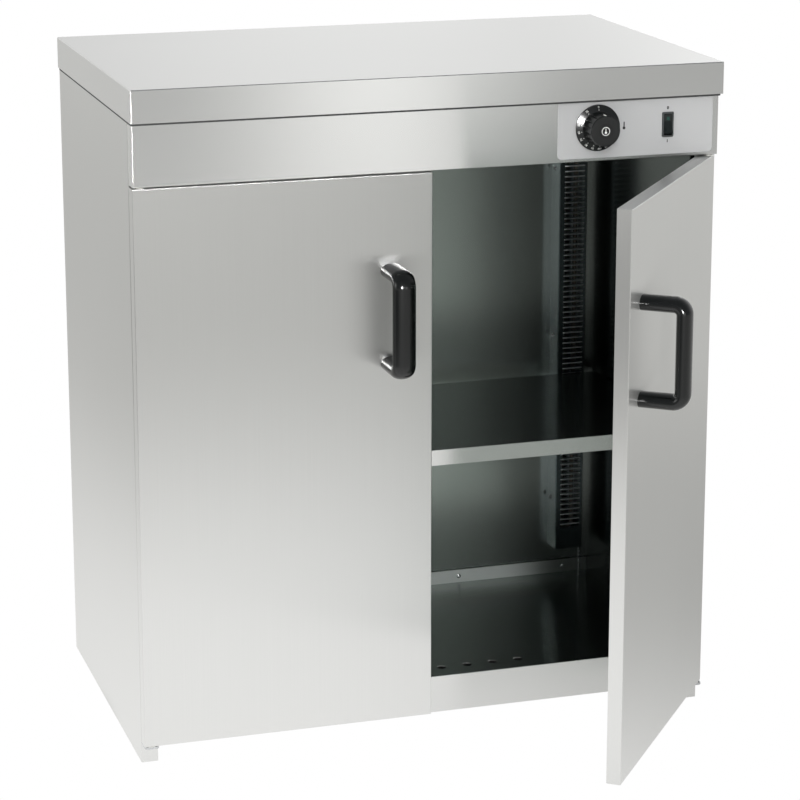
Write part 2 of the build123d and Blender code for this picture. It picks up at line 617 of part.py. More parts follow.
def hinge_tabs():
    """Lower hinge tabs, welded to the front of the posts under the doors."""
    z1, width, corner = DOOR_Z0 - TAB_GAP, 18.5, 5.0
    x1 = BODY_HALF - 0.5
    tab = block(x1 - width, x1, DOOR_FRONT + 1.5, BODY_FRONT, z1 - TAB_T, z1)
    tab = fillet(tab.edges().filter_by(Axis.Z).group_by(Axis.Y)[0], corner)
    return both_sides(tab - rod_z(PIVOT_X, PIVOT_Y, z1 - TAB_T - 1, z1 + 1, PIN_R))


def hinge_pins():
    """The four pins that the doors turn on, two in the plates and two in the tabs."""
    upper = rod_z(PIVOT_X, PIVOT_Y, DOOR_Z1 - PIN_IN_DOOR, FASCIA_Z + OUTER_T + TAB_T, PIN_R)
    lower = rod_z(PIVOT_X, PIVOT_Y, DOOR_Z0 - TAB_GAP - TAB_T, DOOR_Z0 + PIN_IN_DOOR, PIN_R)
    return both_sides(Compound([upper, lower]))


# ---------------------------------------------------------------- doors, built closed on the right

def handle_holes(y0, y1, r):
    """The two holes that the handle's screws pass through."""
    low, high = HANDLE_Z - HANDLE_CC / 2, HANDLE_Z + HANDLE_CC / 2
    return rod_y(HANDLE_X, low, y0, y1, r) + rod_y(HANDLE_X, high, y0, y1, r)


def door_skin():
    """Outer skin of a door: a tray with folded edges."""
    skin = block(DOOR_X0, DOOR_X1, DOOR_FRONT, DOOR_BACK, DOOR_Z0, DOOR_Z1)
    skin = fillet(skin.faces().sort_by(Axis.Y)[0].edges(), 1.0)
    skin -= block(
        DOOR_X0 + SKIN_T, DOOR_X1 - SKIN_T, DOOR_FRONT + SKIN_T, DOOR_BACK + 1,
        DOOR_Z0 + SKIN_T, DOOR_Z1 - SKIN_T,
    )
    for z in (DOOR_Z0, DOOR_Z1):
        skin -= rod_z(PIVOT_X, PIVOT_Y, z - 3, z + 3, BUSH_R)
    return skin - handle_holes(DOOR_FRONT - 1, DOOR_FRONT + 3, HANDLE_SCREW_R)


def door_back():
    """Flat inner skin, set inside the outer one's folded edges."""
    edge = SKIN_T + 0.1
    sheet = block(
        DOOR_X0 + edge, DOOR_X1 - edge, DOOR_BACK - BACK_SKIN_T, DOOR_BACK,
        DOOR_Z0 + edge, DOOR_Z1 - edge,
    )
    return sheet - handle_holes(DOOR_BACK - 3, DOOR_BACK + 1, HANDLE_SCREW_R)


def door_core():
    """Insulation between the two skins of a door."""
    edge = SKIN_T + 0.4
    core = block(
        DOOR_X0 + edge, DOOR_X1 - edge, DOOR_FRONT + edge, DOOR_BACK - BACK_SKIN_T - 0.4,
        DOOR_Z0 + edge, DOOR_Z1 - edge,
    )
    for z0, z1 in ((DOOR_Z0, DOOR_Z0 + BUSH_L + 4), (DOOR_Z1 - BUSH_L - 4, DOOR_Z1)):
        core -= block(PIVOT_X - 8, DOOR_X1, DOOR_FRONT, DOOR_BACK, z0, z1)
    return core - handle_holes(DOOR_FRONT, DOOR_BACK, HANDLE_SCREW_R + 1.5)


def door_bushes():
    """Flanged nylon bushes in the top and bottom edges of a door."""
    low = rod_z(PIVOT_X, PIVOT_Y, DOOR_Z0, DOOR_Z0 + BUSH_L, BUSH_R)
    low += rod_z(PIVOT_X, PIVOT_Y, DOOR_Z0 - TAB_GAP + 0.05, DOOR_Z0, BUSH_FLANGE_R)
    high = rod_z(PIVOT_X, PIVOT_Y, DOOR_Z1 - BUSH_L, DOOR_Z1, BUSH_R)
    high += rod_z(PIVOT_X, PIVOT_Y, DOOR_Z1, DOOR_Z1 + 1.2, BUSH_FLANGE_R)
    bore = rod_z(PIVOT_X, PIVOT_Y, 0, HEIGHT, BUSH_BORE)
    return Compound([*(low - bore).solids(), *(high - bore).solids()])


def handle():
    """Black bow handle: one rounded bar bent out from the door and back."""
    low, high = HANDLE_Z - HANDLE_CC / 2, HANDLE_Z + HANDLE_CC / 2
    reach = DOOR_FRONT - HANDLE_REACH
    path = FilletPolyline(
        (HANDLE_X, DOOR_FRONT, low), (HANDLE_X, reach, low),
        (HANDLE_X, reach, high), (HANDLE_X, DOOR_FRONT, high), radius=HANDLE_CORNER,
    )
    start = Plane(origin=(HANDLE_X, DOOR_FRONT, low), x_dir=(1, 0, 0), z_dir=(0, -1, 0))
    bar = sweep(start * RectangleRounded(HANDLE_W, HANDLE_D, HANDLE_D * 0.42), path)
    return bar - handle_holes(DOOR_FRONT - 14, DOOR_FRONT + 1, HANDLE_SCREW_R)


def handle_screws():
    """Two screws from the inside of the door into the handle."""
    group = []
    for z in (HANDLE_Z - HANDLE_CC / 2, HANDLE_Z + HANDLE_CC / 2):
        screw = rod_y(HANDLE_X, z, DOOR_FRONT - 13, DOOR_BACK, HANDLE_SCREW_R)
        screw += rod_y(HANDLE_X, z, DOOR_BACK, DOOR_BACK + HANDLE_SCREW_HEAD_H, HANDLE_SCREW_HEAD_R)
        screw = fillet(screw.faces().sort_by(Axis.Y)[-1].edges(), 1.2)
        group += screw.solids()
    return Compound(group)


def door_magnet():
    """Magnet strip that holds a closed door to the steel sill."""
    return block(
        HOLDER_X0 + HOLDER_WALL, HOLDER_X1 - HOLDER_WALL, DOOR_BACK, DOOR_BACK + HOLDER_T,
        HOLDER_Z0 + HOLDER_WALL, HOLDER_Z1 - HOLDER_WALL,
    )


def magnet_holder():
    """Frame round the magnet, stuck low on the inside of a door, near its free edge."""
    frame = block(HOLDER_X0, HOLDER_X1, DOOR_BACK, DOOR_BACK + HOLDER_T, HOLDER_Z0, HOLDER_Z1)
    return fillet(frame.edges().filter_by(Axis.Y), 2.0) - door_magnet()


# ---------------------------------------------------------------- write every node

CENTRE = {
    "worktop": worktop,
    "worktop_stiffeners": worktop_stiffeners,
    "back_panel": back_panel,
    "back_rivets": back_rivets,
    "floor_pan": floor_pan,
    "rear_upstand": rear_upstand,
    "upstand_screws": upstand_screws,
    "inner_back": inner_back,
    "ceiling": ceiling,
    "fascia": fascia,
    "control_plate": control_plate,
    "dial": dial,
    "dial_cap": dial_cap,
    "dial_shaft": dial_shaft,
    "thermostat": thermostat,
    "capillary": capillary,
    "capillary_grommet": capillary_grommet,
    "bulb_clips": bulb_clips,
    "switch_housing": switch_housing,
    "rocker": rocker,
    "shelf": shelf,
    "rail_screws": rail_screws,
    "duct_screws": duct_screws,
    "duct_stays": duct_stays,
    "terminal_block": terminal_block,
    "cable_gland": cable_gland,
    "gland_locknut": gland_locknut,
    "hinge_plates": hinge_plates,
    "hinge_tabs": hinge_tabs,
    "hinge_pins": hinge_pins,
}

PAIRED = {
    "side_panel": side_panel,
    "side_liner": side_liner,
    "side_insulation": side_insulation,
    "shelf_rail": shelf_rail,
    "duct": duct,
    "heating_element": heating_element,
}

DOOR = {
    "door_skin": door_skin,
    "door_back": door_back,
    "door_core": door_core,
    "door_bushes": door_bushes,
    "handle": handle,
    "handle_screws": handle_screws,
    "magnet_holder": magnet_holder,
    "door_magnet": door_magnet,
}

for name, make in CENTRE.items():
    save(name, make())

for name, make in PAIRED.items():
    right = make()
    save(f"right_{name}", right)
    save(f"left_{name}", flip(right))

for name, make in DOOR.items():
    closed = make()
    save(f"right_{name}", swing(closed))
    save(f"left_{name}", flip(closed))
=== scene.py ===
import bpy
import bmesh
import math
from mathutils import Matrix, Vector


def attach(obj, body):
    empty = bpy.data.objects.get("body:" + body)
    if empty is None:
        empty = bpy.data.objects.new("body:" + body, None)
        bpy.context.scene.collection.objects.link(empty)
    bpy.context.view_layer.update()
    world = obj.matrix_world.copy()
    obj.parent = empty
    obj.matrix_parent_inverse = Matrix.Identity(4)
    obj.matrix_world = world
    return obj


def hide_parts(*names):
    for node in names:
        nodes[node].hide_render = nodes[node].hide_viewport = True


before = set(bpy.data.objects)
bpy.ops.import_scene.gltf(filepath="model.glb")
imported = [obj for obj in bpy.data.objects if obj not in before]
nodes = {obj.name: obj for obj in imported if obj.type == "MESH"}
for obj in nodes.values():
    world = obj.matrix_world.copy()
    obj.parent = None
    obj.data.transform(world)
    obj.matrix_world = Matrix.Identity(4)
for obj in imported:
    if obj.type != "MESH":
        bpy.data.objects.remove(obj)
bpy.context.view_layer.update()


# ------------------------------------------------------------ the camera
# A long lens a little to the left of the cabinet and above it, aimed down into the open door.
# Most of the picture's height comes from the tilt, with only a small shift.

def added(name, data):
    """An object made from its data and put in the scene."""
    made = bpy.data.objects.new(name, data)
    bpy.context.scene.collection.objects.link(made)
    return made


camera_place = (-1.0306, -3.6189, 1.3701)
camera_yaw, camera_pitch = math.radians(17.31), math.radians(13.9)
camera_data = bpy.data.cameras.new("camera")
camera_data.sensor_width = 36.0
camera_data.lens = 125.6
camera_data.shift_y = -0.10
camera = added("camera", camera_data)
camera.location = camera_place
camera.rotation_euler = (math.pi / 2 - camera_pitch, 0, -camera_yaw)
bpy.context.scene.camera = camera
bpy.context.scene.view_settings.view_transform = "Standard"


# ------------------------------------------------------------ the studio
# A white room: pale paper underfoot, light walls, and a ceiling that is darker overhead. Five soft
# boxes around the cabinet are mirrored in its steel, and two more only fill its shadows.

def linear(hex_colour):
    """An sRGB hex colour as linear red, green, blue and alpha."""
    parts = [int(hex_colour[i:i + 2], 16) / 255 for i in (1, 3, 5)]
    return [c / 12.92 if c <= 0.04045 else ((c + 0.055) / 1.055) ** 2.4 for c in parts] + [1.0]


def add_node(tree, kind, settings=None, links=None):
    """Adds a node, sets its properties and input values, and links its inputs."""
    made = tree.nodes.new(kind)
    for key, value in (settings or {}).items():
        if isinstance(key, str) and hasattr(made, key):
            setattr(made, key, value)
        else:
            made.inputs[key].default_value = value
    for key, source in (links or {}).items():
        for one in source if isinstance(source, list) else [source]:
            tree.links.new(one, made.inputs[key])
    return made


world = bpy.data.worlds.new("white_studio")
world.use_nodes = True
sky = world.node_tree
sky.nodes.clear()
ray = add_node(sky, "ShaderNodeLightPath")
direction = add_node(sky, "ShaderNodeTexCoord")
way_parts = add_node(sky, "ShaderNodeSeparateXYZ", links={0: direction.outputs["Generated"]})
backwards, upwards = [
    add_node(
        sky, "ShaderNodeMapRange", {"From Min": low, "From Max": 0.95},
        {"Value": way_parts.outputs[axis]},
    )
    for axis, low in (("Y", -0.3), ("Z", 0.3))
]
walls = add_node(
    sky, "ShaderNodeMix", {"data_type": "RGBA", 6: linear("#9A9C9E"), 7: linear("#FFFFFF")},
    {"Factor": backwards.outputs[0]},
)
room = add_node(
    sky, "ShaderNodeMix", {"data_type": "RGBA", 7: linear("#8C8E90")},
    {"Factor": upwards.outputs[0], 6: walls.outputs[2]},
)
room_light = add_node(sky, "ShaderNodeBackground", {"Strength": 1.0}, {"Color": room.outputs[2]})
white = add_node(sky, "ShaderNodeBackground", {"Color": (1, 1, 1, 1), "Strength": 1.0})
seen = add_node(
    sky, "ShaderNodeMixShader",
    links={0: ray.outputs["Is Camera Ray"], 1: room_light.outputs[0], 2: white.outputs[0]},
)
add_node(sky, "ShaderNodeOutputWorld", links={"Surface": seen.outputs[0]})
bpy.context.scene.world = world

floor_mat = bpy.data.materials.new("studio_floor")
floor_mat.use_nodes = True
tree = floor_mat.node_tree
tree.nodes.clear()
ray = add_node(tree, "ShaderNodeLightPath")
place = add_node(tree, "ShaderNodeTexCoord")


def fade(centre, near, far, stretch=(1, 1, 1)):
    """0 up to the near distance from a point of the floor, rising to 1 at the far distance."""
    spot = add_node(
        tree, "ShaderNodeMapping", {"vector_type": "TEXTURE", "Location": centre, "Scale": stretch},
        {"Vector": place.outputs["Object"]},
    )
    length = add_node(tree, "ShaderNodeVectorMath", {"operation": "LENGTH"}, {0: spot.outputs[0]})
    return add_node(
        tree, "ShaderNodeMapRange",
        {"interpolation_type": "SMOOTHSTEP", "From Min": near, "From Max": far},
        {"Value": length.outputs["Value"]},
    ).outputs[0]


# What steel mirrors of the paper: its tone, and then patches that are lit or shaded, each with its
# centre and the distances at which it starts to fade and is gone.
paper_tone, bright = linear("#D4D4D2"), (1.15, 1.15, 1.15, 1.0)
patches = (
    (bright, (-0.2, -0.6, 0), 0.1, 2.2),
    (linear("#B2B2B0"), (1.1, -0.3, 0), 0.2, 1.3),
    (linear("#585858"), (-2.4, -2.0, 0), 0.5, 1.9),
)
paper = None
for patch_tone, centre, near, far in patches:
    blend = add_node(
        tree, "ShaderNodeMix", {"data_type": "RGBA", 6: patch_tone, 7: paper_tone},
        {"Factor": fade(centre, near, far)},
    )
    if paper is not None:
        tree.links.new(paper, blend.inputs[7])
    paper = blend.outputs[2]
tone = add_node(
    tree, "ShaderNodeMix", {"data_type": "RGBA", 7: (1, 1, 1, 1)},
    {"Factor": ray.outputs["Is Camera Ray"], 6: paper},
)
glow = add_node(tree, "ShaderNodeEmission", {"Strength": 1.0}, {"Color": tone.outputs[2]})
# Both fades are 0 under the cabinet and 1 outside it. Under the cabinet the paper is painted near
# black, a painted shadow, and there steel mirrors that dark paper instead of the glow.
body_middle, body_stretch = (0, -0.22, 0), (1.75, 1, 1)
sill_middle, sill_stretch, mirrored_floor = (0, -0.16, 0), (2, 1, 1), 0.85
beside_cabinet = fade(body_middle, 0.17, 0.23, body_stretch)
beyond_sill = fade(sill_middle, 0.14, 0.17, sill_stretch)
# Painted shadow: the paper is near black under the cabinet and off-white outside it.
paper_with_painted_shadow = add_node(
    tree, "ShaderNodeMix", {"data_type": "RGBA", 6: linear("#202020"), 7: linear("#EFEFED")},
    {"Factor": beside_cabinet},
)
matte = add_node(tree, "ShaderNodeBsdfDiffuse", links={"Color": paper_with_painted_shadow.outputs[2]})
seen_share = add_node(
    tree, "ShaderNodeMath", {"operation": "MULTIPLY"},
    {0: ray.outputs["Is Camera Ray"], 1: beyond_sill},
)
open_floor = add_node(
    tree, "ShaderNodeMath", {"operation": "MULTIPLY", 1: mirrored_floor}, {0: beside_cabinet}
)
glossy_share = add_node(
    tree, "ShaderNodeMath", {"operation": "MULTIPLY"},
    {0: ray.outputs["Is Glossy Ray"], 1: open_floor.outputs[0]},
)
share = add_node(
    tree, "ShaderNodeMath", {"operation": "MAXIMUM"},
    {0: seen_share.outputs[0], 1: glossy_share.outputs[0]},
)
mixed = add_node(
    tree, "ShaderNodeMixShader",
    links={0: share.outputs[0], 1: matte.outputs[0], 2: glow.outputs[0]},
)
add_node(tree, "ShaderNodeOutputMaterial", links={"Surface": mixed.outputs[0]})

floor_half = 30.0
floor_mesh = bpy.data.meshes.new("studio_floor")
floor_mesh.from_pydata(
    [(-floor_half, -floor_half, 0), (floor_half, -floor_half, 0),
     (floor_half, floor_half, 0), (-floor_half, floor_half, 0)], [], [(0, 1, 2, 3)],
)
floor_mesh.materials.append(floor_mat)
floor_drop = 0.0005
floor = added("studio_floor", floor_mesh)
floor.location.z = -floor_drop

# Each lamp's place, size, power and whether steel mirrors it. The small strong one beside the
# camera is only mirrored: it draws the bright fan on the dial's skirt and the handles' highlights.
cabinet_middle = Vector((0, -0.25, 0.6))
soft_boxes = {
    "soft_box_front": ((1.08, -4.3, 0.85), (1.25, 1.7), 17.0, True),
    "soft_box_camera": ((-0.6, -4.3, 1.1), (0.6, 0.95), 560.0, True),
    "soft_box_left": ((-2.7, -1.0, 1.2), (2.0, 2.0), 35.0, True),
    "soft_box_behind": ((1.3, 4.0, 2.1), (3.6, 1.9), 22.0, True),
    "soft_box_right": ((2.5, 3.5, 1.9), (2.0, 1.6), 16.0, True),
    "fill_above": ((-0.4, -1.0, 3.6), (3.0, 3.0), 50.0, False),
    "fill_front": ((-0.6, -4.5, 2.6), (3.0, 2.5), 110.0, False),
}
for name, (place_at, size, power, mirrored) in soft_boxes.items():
    lamp = bpy.data.lights.new(name, "AREA")
    lamp.shape, lamp.energy = "RECTANGLE", power
    lamp.size, lamp.size_y = size
    lamp.use_nodes = True
    gel = lamp.node_tree
    if mirrored:
        spread = add_node(gel, "ShaderNodeNewGeometry")
        off_middle = add_node(
            gel, "ShaderNodeVectorMath", {"operation": "DISTANCE", 1: (0.5, 0.5, 0)},
            {0: spread.outputs["Parametric"]},
        )
        hot_middle = add_node(
            gel, "ShaderNodeMapRange",
            {"interpolation_type": "SMOOTHSTEP", "From Min": 0.5, "From Max": 0.0},
            {"Value": off_middle.outputs["Value"]},
        )
        gel.links.new(hot_middle.outputs[0], gel.nodes["Emission"].inputs["Strength"])
    box = added(name, lamp)
    box.location = place_at
    aim = cabinet_middle - box.location
    box.rotation_euler = aim.to_track_quat("-Z", "Y").to_euler()
    box.visible_camera = False
    box.visible_glossy = mirrored
    box.visible_diffuse = name != "soft_box_camera"


# ------------------------------------------------------------ outer panels
# Stainless steel sheet, 1.2 to 1.5 mm, ground with a belt so that fine lines run along it.
# They are level on the worktop and fascia, which draws reflections out upwards, and upright on the
# doors and sides, which draws them out sideways.

def paint(node_name, material):
    """Gives a CAD node its material."""
    mesh = nodes[node_name].data
    mesh.materials.clear()
    mesh.materials.append(material)


def start_material(name):
    """An empty material with its shader joined to the output."""
    made = bpy.data.materials.new(name)
    made.use_nodes = True
    made.node_tree.nodes.clear()
    shader = add_node(made.node_tree, "ShaderNodeBsdfPrincipled")
    add_node(made.node_tree, "ShaderNodeOutputMaterial", links={"Surface": shader.outputs[0]})
    return made, made.node_tree, shader


def ground_steel(
    name, dark, light, rough, stretch, uneven=0.005, upright=False, painted_level_shade="#FFFFFF",
):
    """Steel sheet with fine lines, 0.1 mm wide on the real one and drawn 0.9 mm wide to show."""
    made, tree, shader = start_material(name)
    line_width, line_length, patch, patch_share, level_limit = 0.0009, 0.25, 0.3, 0.35, 0.7
    place = add_node(tree, "ShaderNodeTexCoord")
    xyz = add_node(tree, "ShaderNodeSeparateXYZ", links={0: place.outputs["Object"]})
    facing = add_node(tree, "ShaderNodeSeparateXYZ", links={0: place.outputs["Normal"]})
    upward = add_node(tree, "ShaderNodeMath", {"operation": "ABSOLUTE"}, {0: facing.outputs["Z"]})
    level = add_node(
        tree, "ShaderNodeMath", {"operation": "GREATER_THAN", 1: level_limit},
        {0: upward.outputs[0]},
    )
    sideways = add_node(
        tree, "ShaderNodeVectorMath", {"operation": "CROSS_PRODUCT", 1: (0, 0, 1)},
        {0: place.outputs["Normal"]},
    )
    run = add_node(
        tree, "ShaderNodeVectorMath", {"operation": "DOT_PRODUCT"},
        {0: place.outputs["Object"], 1: sideways.outputs[0]},
    )
    lengthways, crossways = run.outputs["Value"], xyz.outputs["Z"]
    if upright:
        lengthways, crossways = crossways, lengthways
    along = add_node(
        tree, "ShaderNodeMix",
        links={"Factor": level.outputs[0], 2: lengthways, 3: xyz.outputs["X"]},
    )
    across = add_node(
        tree, "ShaderNodeMix",
        links={"Factor": level.outputs[0], 2: crossways, 3: xyz.outputs["Y"]},
    )
    flat = add_node(
        tree, "ShaderNodeCombineXYZ", links={"X": along.outputs[0], "Y": across.outputs[0]}
    )
    lines = add_node(
        tree, "ShaderNodeMapping", {"Scale": (1 / line_length, 1 / line_width, 1)},
        {"Vector": flat.outputs[0]},
    )
    grain = add_node(
        tree, "ShaderNodeTexNoise", {"Scale": 1.0, "Detail": 2.0, "Roughness": 0.5},
        {"Vector": lines.outputs[0]},
    )
    cloud = add_node(
        tree, "ShaderNodeTexNoise", {"Scale": 1 / patch, "Detail": 2.0},
        {"Vector": place.outputs["Object"]},
    )
    both = add_node(
        tree, "ShaderNodeMix", {"Factor": patch_share},
        {2: grain.outputs[0], 3: cloud.outputs[0]},
    )
    colour = add_node(
        tree, "ShaderNodeMix", {"data_type": "RGBA", 6: linear(dark), 7: linear(light)},
        {"Factor": both.outputs[0]},
    )
    # Painted shade: level faces are multiplied by painted_level_shade; the white default leaves them
    # as they are.
    shaded = add_node(
        tree, "ShaderNodeMix",
        {"data_type": "RGBA", "blend_type": "MULTIPLY", 7: linear(painted_level_shade)},
        {"Factor": level.outputs[0], 6: colour.outputs[2]},
    )
    gloss = add_node(
        tree, "ShaderNodeMapRange",
        {"From Min": 0.3, "From Max": 0.7, "To Min": rough - uneven, "To Max": rough + uneven},
        {"Value": grain.outputs[0]},
    )
    relief = add_node(
        tree, "ShaderNodeBump", {"Strength": 0.005, "Distance": 0.0001},
        {"Height": grain.outputs[0]},
    )
    smear = add_node(
        tree, "ShaderNodeMix", {"data_type": "VECTOR", 4: (0, 0, 1), 5: (0, 1, 0)},
        {"Factor": level.outputs[0]},
    )
    if upright:
        turned = add_node(tree, "ShaderNodeNewGeometry")
        beside = add_node(
            tree, "ShaderNodeVectorMath", {"operation": "CROSS_PRODUCT", 1: (0, 0, 1)},
            {0: turned.outputs["Normal"]},
        )
        tree.links.new(beside.outputs[0], smear.inputs[4])
    shader.inputs["Metallic"].default_value = 1.0
    shader.inputs["Anisotropic"].default_value = stretch
    tree.links.new(shaded.outputs[2], shader.inputs["Base Color"])
    tree.links.new(gloss.outputs[0], shader.inputs["Roughness"])
    tree.links.new(relief.outputs[0], shader.inputs["Normal"])
    tree.links.new(smear.outputs[1], shader.inputs["Tangent"])
    return made


# Level lines: soft upright glows with crisp sides, as on a brushed counter.
outer_steel = ground_steel("belt_ground_stainless", "#D6D6D4", "#DEDEDC", 0.23, 1.0)
for name in ("worktop", "fascia", "back_panel"):
    paint(name, outer_steel)
# The same sheet with painted shade on its level faces, multiplied down to a cool grey, so that the
# shelf and the floor pan look deep and dim.
level_shaded_steel = ground_steel(
    "level_shaded_ground_stainless", "#D6D6D4", "#DEDEDC", 0.23, 1.0, painted_level_shade="#A8AEAC"
)
for name in ("floor_pan", "shelf"):
    paint(name, level_shaded_steel)
# Upright lines: broad satin sheets of light, and the handles' mirror images blurred sideways.
upright_steel = ground_steel(
    "upright_ground_stainless", "#DBDBD9", "#E3E3E1", 0.3, 1.0, upright=True
)
for name in ("left_side_panel", "right_side_panel", "left_door_skin", "right_door_skin"):
    paint(name, upright_steel)


# ------------------------------------------------------------ lining
# Thinner stainless sheet, 1 to 1.2 mm, with its plain rolled finish, greyer than the outside. It
# is folded and screwed in before the side panels go on.

# Greenish grey and fairly sharp, so the back wall mirrors the shelf and the ducts.
lining_steel = ground_steel("rolled_stainless", "#AEB4B0", "#B6BCB8", 0.22, 0.5, 0.01)
for name in ("inner_back", "worktop_stiffeners", "left_door_back", "right_door_back"):
    paint(name, lining_steel)
# Pickled matte: an even pale grey without highlights.
matte_steel = ground_steel("matte_rolled_stainless", "#B4B9B6", "#BEC3C0", 0.42, 0.2, 0.02)
for name in ("rear_upstand", "left_shelf_rail", "right_shelf_rail"):
    paint(name, matte_steel)
# Painted shade: the ducts' stainless is given a dark blue-grey that stands in for the dim interior
# it mirrors, with a cool sheen.
shade_darkened_duct_steel = ground_steel("shade_darkened_duct_stainless", "#5C6668", "#667072", 0.2, 0.3, 0.01)
for name in ("left_duct", "right_duct"):
    paint(name, shade_darkened_duct_steel)
# Painted shade: the same stainless made nearly black, for the dim ceiling and side liners away from
# the door.
shade_darkened_steel = ground_steel("shade_darkened_liner_stainless", "#3E413E", "#474A47", 0.2, 0.5, 0.01)
for name in ("ceiling", "left_side_liner", "right_side_liner"):
    paint(name, shade_darkened_steel)


# ------------------------------------------------------------ small metal parts
# Zinc-plated steel screws, rivets, rods and pins, with the metals of the heaters, the magnets and
# the thermostat's capillary.

def plain_metal(name, dark, light, rough, patch):
    """Metal with a faint mottle of the given size."""
    made, tree, shader = start_material(name)
    place = add_node(tree, "ShaderNodeTexCoord")
    mottle = add_node(
        tree, "ShaderNodeTexNoise", {"Scale": 1 / patch, "Detail": 3.0},
        {"Vector": place.outputs["Object"]},
    )
    colour = add_node(
        tree, "ShaderNodeMix", {"data_type": "RGBA", 6: linear(dark), 7: linear(light)},
        {"Factor": mottle.outputs[0]},
    )
    gloss = add_node(
        tree, "ShaderNodeMapRange", {"To Min": rough - 0.05, "To Max": rough + 0.08},
        {"Value": mottle.outputs[0]},
    )
    shader.inputs["Metallic"].default_value = 1.0
    tree.links.new(colour.outputs[2], shader.inputs["Base Color"])
    tree.links.new(gloss.outputs[0], shader.inputs["Roughness"])
    return made


# Bright, a little cloudy.
zinc = plain_metal("zinc_plated_steel", "#B4B6B8", "#CFD0D0", 0.25, 0.004)
for name in (
    "back_rivets", "upstand_screws", "rail_screws", "duct_screws", "duct_stays", "hinge_plates",
    "hinge_tabs", "hinge_pins", "left_handle_screws", "right_handle_screws", "dial_shaft",
    "bulb_clips",
):
    paint(name, zinc)

# Brown and straw tints from the heat.
sheath = plain_metal("heat_tinted_sheath", "#4E4A44", "#6A655C", 0.4, 0.02)
for name in ("left_heating_element", "right_heating_element"):
    paint(name, sheath)
# Warm and smooth.
paint("capillary", plain_metal("drawn_copper", "#B4714E", "#C98A66", 0.28, 0.01))
# Dull dark grey, like slate.
ferrite = plain_metal("sintered_ferrite", "#3A3A3C", "#4A4A4C", 0.6, 0.002)
for name in ("left_door_magnet", "right_door_magnet"):
    paint(name, ferrite)


# ------------------------------------------------------------ duct louvres
# Hoods pressed out of the front sheet of both ducts, one over each slot, 80 to a duct.
# Each is a thin curved lip whose ends run back into the sheet.

def start_tree(name, sizes):
    """A Geometry Nodes tree with named size inputs, with its input and output nodes."""
    tree = bpy.data.node_groups.new(name, "GeometryNodeTree")
    tree.interface.new_socket("Geometry", in_out="INPUT", socket_type="NodeSocketGeometry")
    for label, value in sizes.items():
        kind = "NodeSocketInt" if isinstance(value, int) else "NodeSocketFloat"
        tree.interface.new_socket(label, in_out="INPUT", socket_type=kind).default_value = value
    tree.interface.new_socket("Geometry", in_out="OUTPUT", socket_type="NodeSocketGeometry")
    return tree, tree.nodes.new("NodeGroupInput"), tree.nodes.new("NodeGroupOutput")


def finish_tree(tree, outlet, geometry, material):
    """Ends a tree in Realize Instances and Set Material."""
    solid = add_node(tree, "GeometryNodeRealizeInstances", links={"Geometry": geometry})
    painted = add_node(
        tree, "GeometryNodeSetMaterial", {"Material": material}, {"Geometry": solid.outputs[0]}
    )
    tree.links.new(painted.outputs[0], outlet.inputs[0])


def settled(piece):
    """A plain mesh of an object as its modifiers leave it."""
    graph = bpy.context.evaluated_depsgraph_get()
    return bpy.data.meshes.new_from_object(piece.evaluated_get(graph), depsgraph=graph)


def grow(name, tree, sizes, places, facings):
    """Runs a tree on points that each face a way, and keeps the result as a plain mesh."""
    seeds = bpy.data.meshes.new(name + "_seeds")
    seeds.from_pydata(places, [], [])
    facing = seeds.attributes.new("facing", "FLOAT_VECTOR", "POINT")
    facing.data.foreach_set("vector", [value for way in facings for value in way])
    piece = added(name, seeds)
    modifier = piece.modifiers.new("grow", "NODES")
    modifier.node_group = tree
    for item in tree.interface.items_tree:
        if item.in_out == "INPUT" and item.name in sizes:
            modifier[item.identifier] = sizes[item.name]
    piece.data = settled(piece)
    piece.data.name = name
    piece.modifiers.clear()
    return piece


louvre_sizes = {
    "Count": 80, "Pitch": 0.0073, "Width": 0.0286, "Rise": 0.0012, "Drop": 0.0011, "Sheet": 0.0006,
}
tree, sizes_in, outlet = start_tree("pressed_louvres", louvre_sizes)
flat_sheet = add_node(
    tree, "GeometryNodeMeshGrid", {"Size Y": 1.0, "Vertices X": 7, "Vertices Y": 3},
    {"Size X": sizes_in.outputs["Width"]},
)
spot = add_node(tree, "GeometryNodeInputPosition")
spot_parts = add_node(tree, "ShaderNodeSeparateXYZ", links={0: spot.outputs[0]})
edgeways = add_node(
    tree, "ShaderNodeMath", {"operation": "DIVIDE"},
    {0: spot_parts.outputs["X"], 1: sizes_in.outputs["Width"]},
)
doubled = add_node(
    tree, "ShaderNodeMath", {"operation": "MULTIPLY", 1: 2.0}, {0: edgeways.outputs[0]}
)
reach = add_node(tree, "ShaderNodeMath", {"operation": "ABSOLUTE"}, {0: doubled.outputs[0]})
end_steepness = 6.0
steep = add_node(
    tree, "ShaderNodeMath", {"operation": "POWER", 1: end_steepness}, {0: reach.outputs[0]}
)
swell = add_node(tree, "ShaderNodeMath", {"operation": "SUBTRACT", 0: 1.0}, {1: steep.outputs[0]})
down = add_node(
    tree, "ShaderNodeMath", {"operation": "SUBTRACT", 0: 0.5}, {1: spot_parts.outputs["Y"]}
)
quarter = add_node(
    tree, "ShaderNodeMath", {"operation": "MULTIPLY", 1: math.pi / 2}, {0: down.outputs[0]}
)
curve = add_node(tree, "ShaderNodeMath", {"operation": "SINE"}, {0: quarter.outputs[0]})
bulge = add_node(
    tree, "ShaderNodeMath", {"operation": "MULTIPLY"},
    {0: swell.outputs[0], 1: curve.outputs[0]},
)
out_by = add_node(
    tree, "ShaderNodeMath", {"operation": "MULTIPLY"},
    {0: bulge.outputs[0], 1: sizes_in.outputs["Rise"]},
)
forward = add_node(
    tree, "ShaderNodeMath", {"operation": "MULTIPLY", 1: -1.0}, {0: out_by.outputs[0]}
)
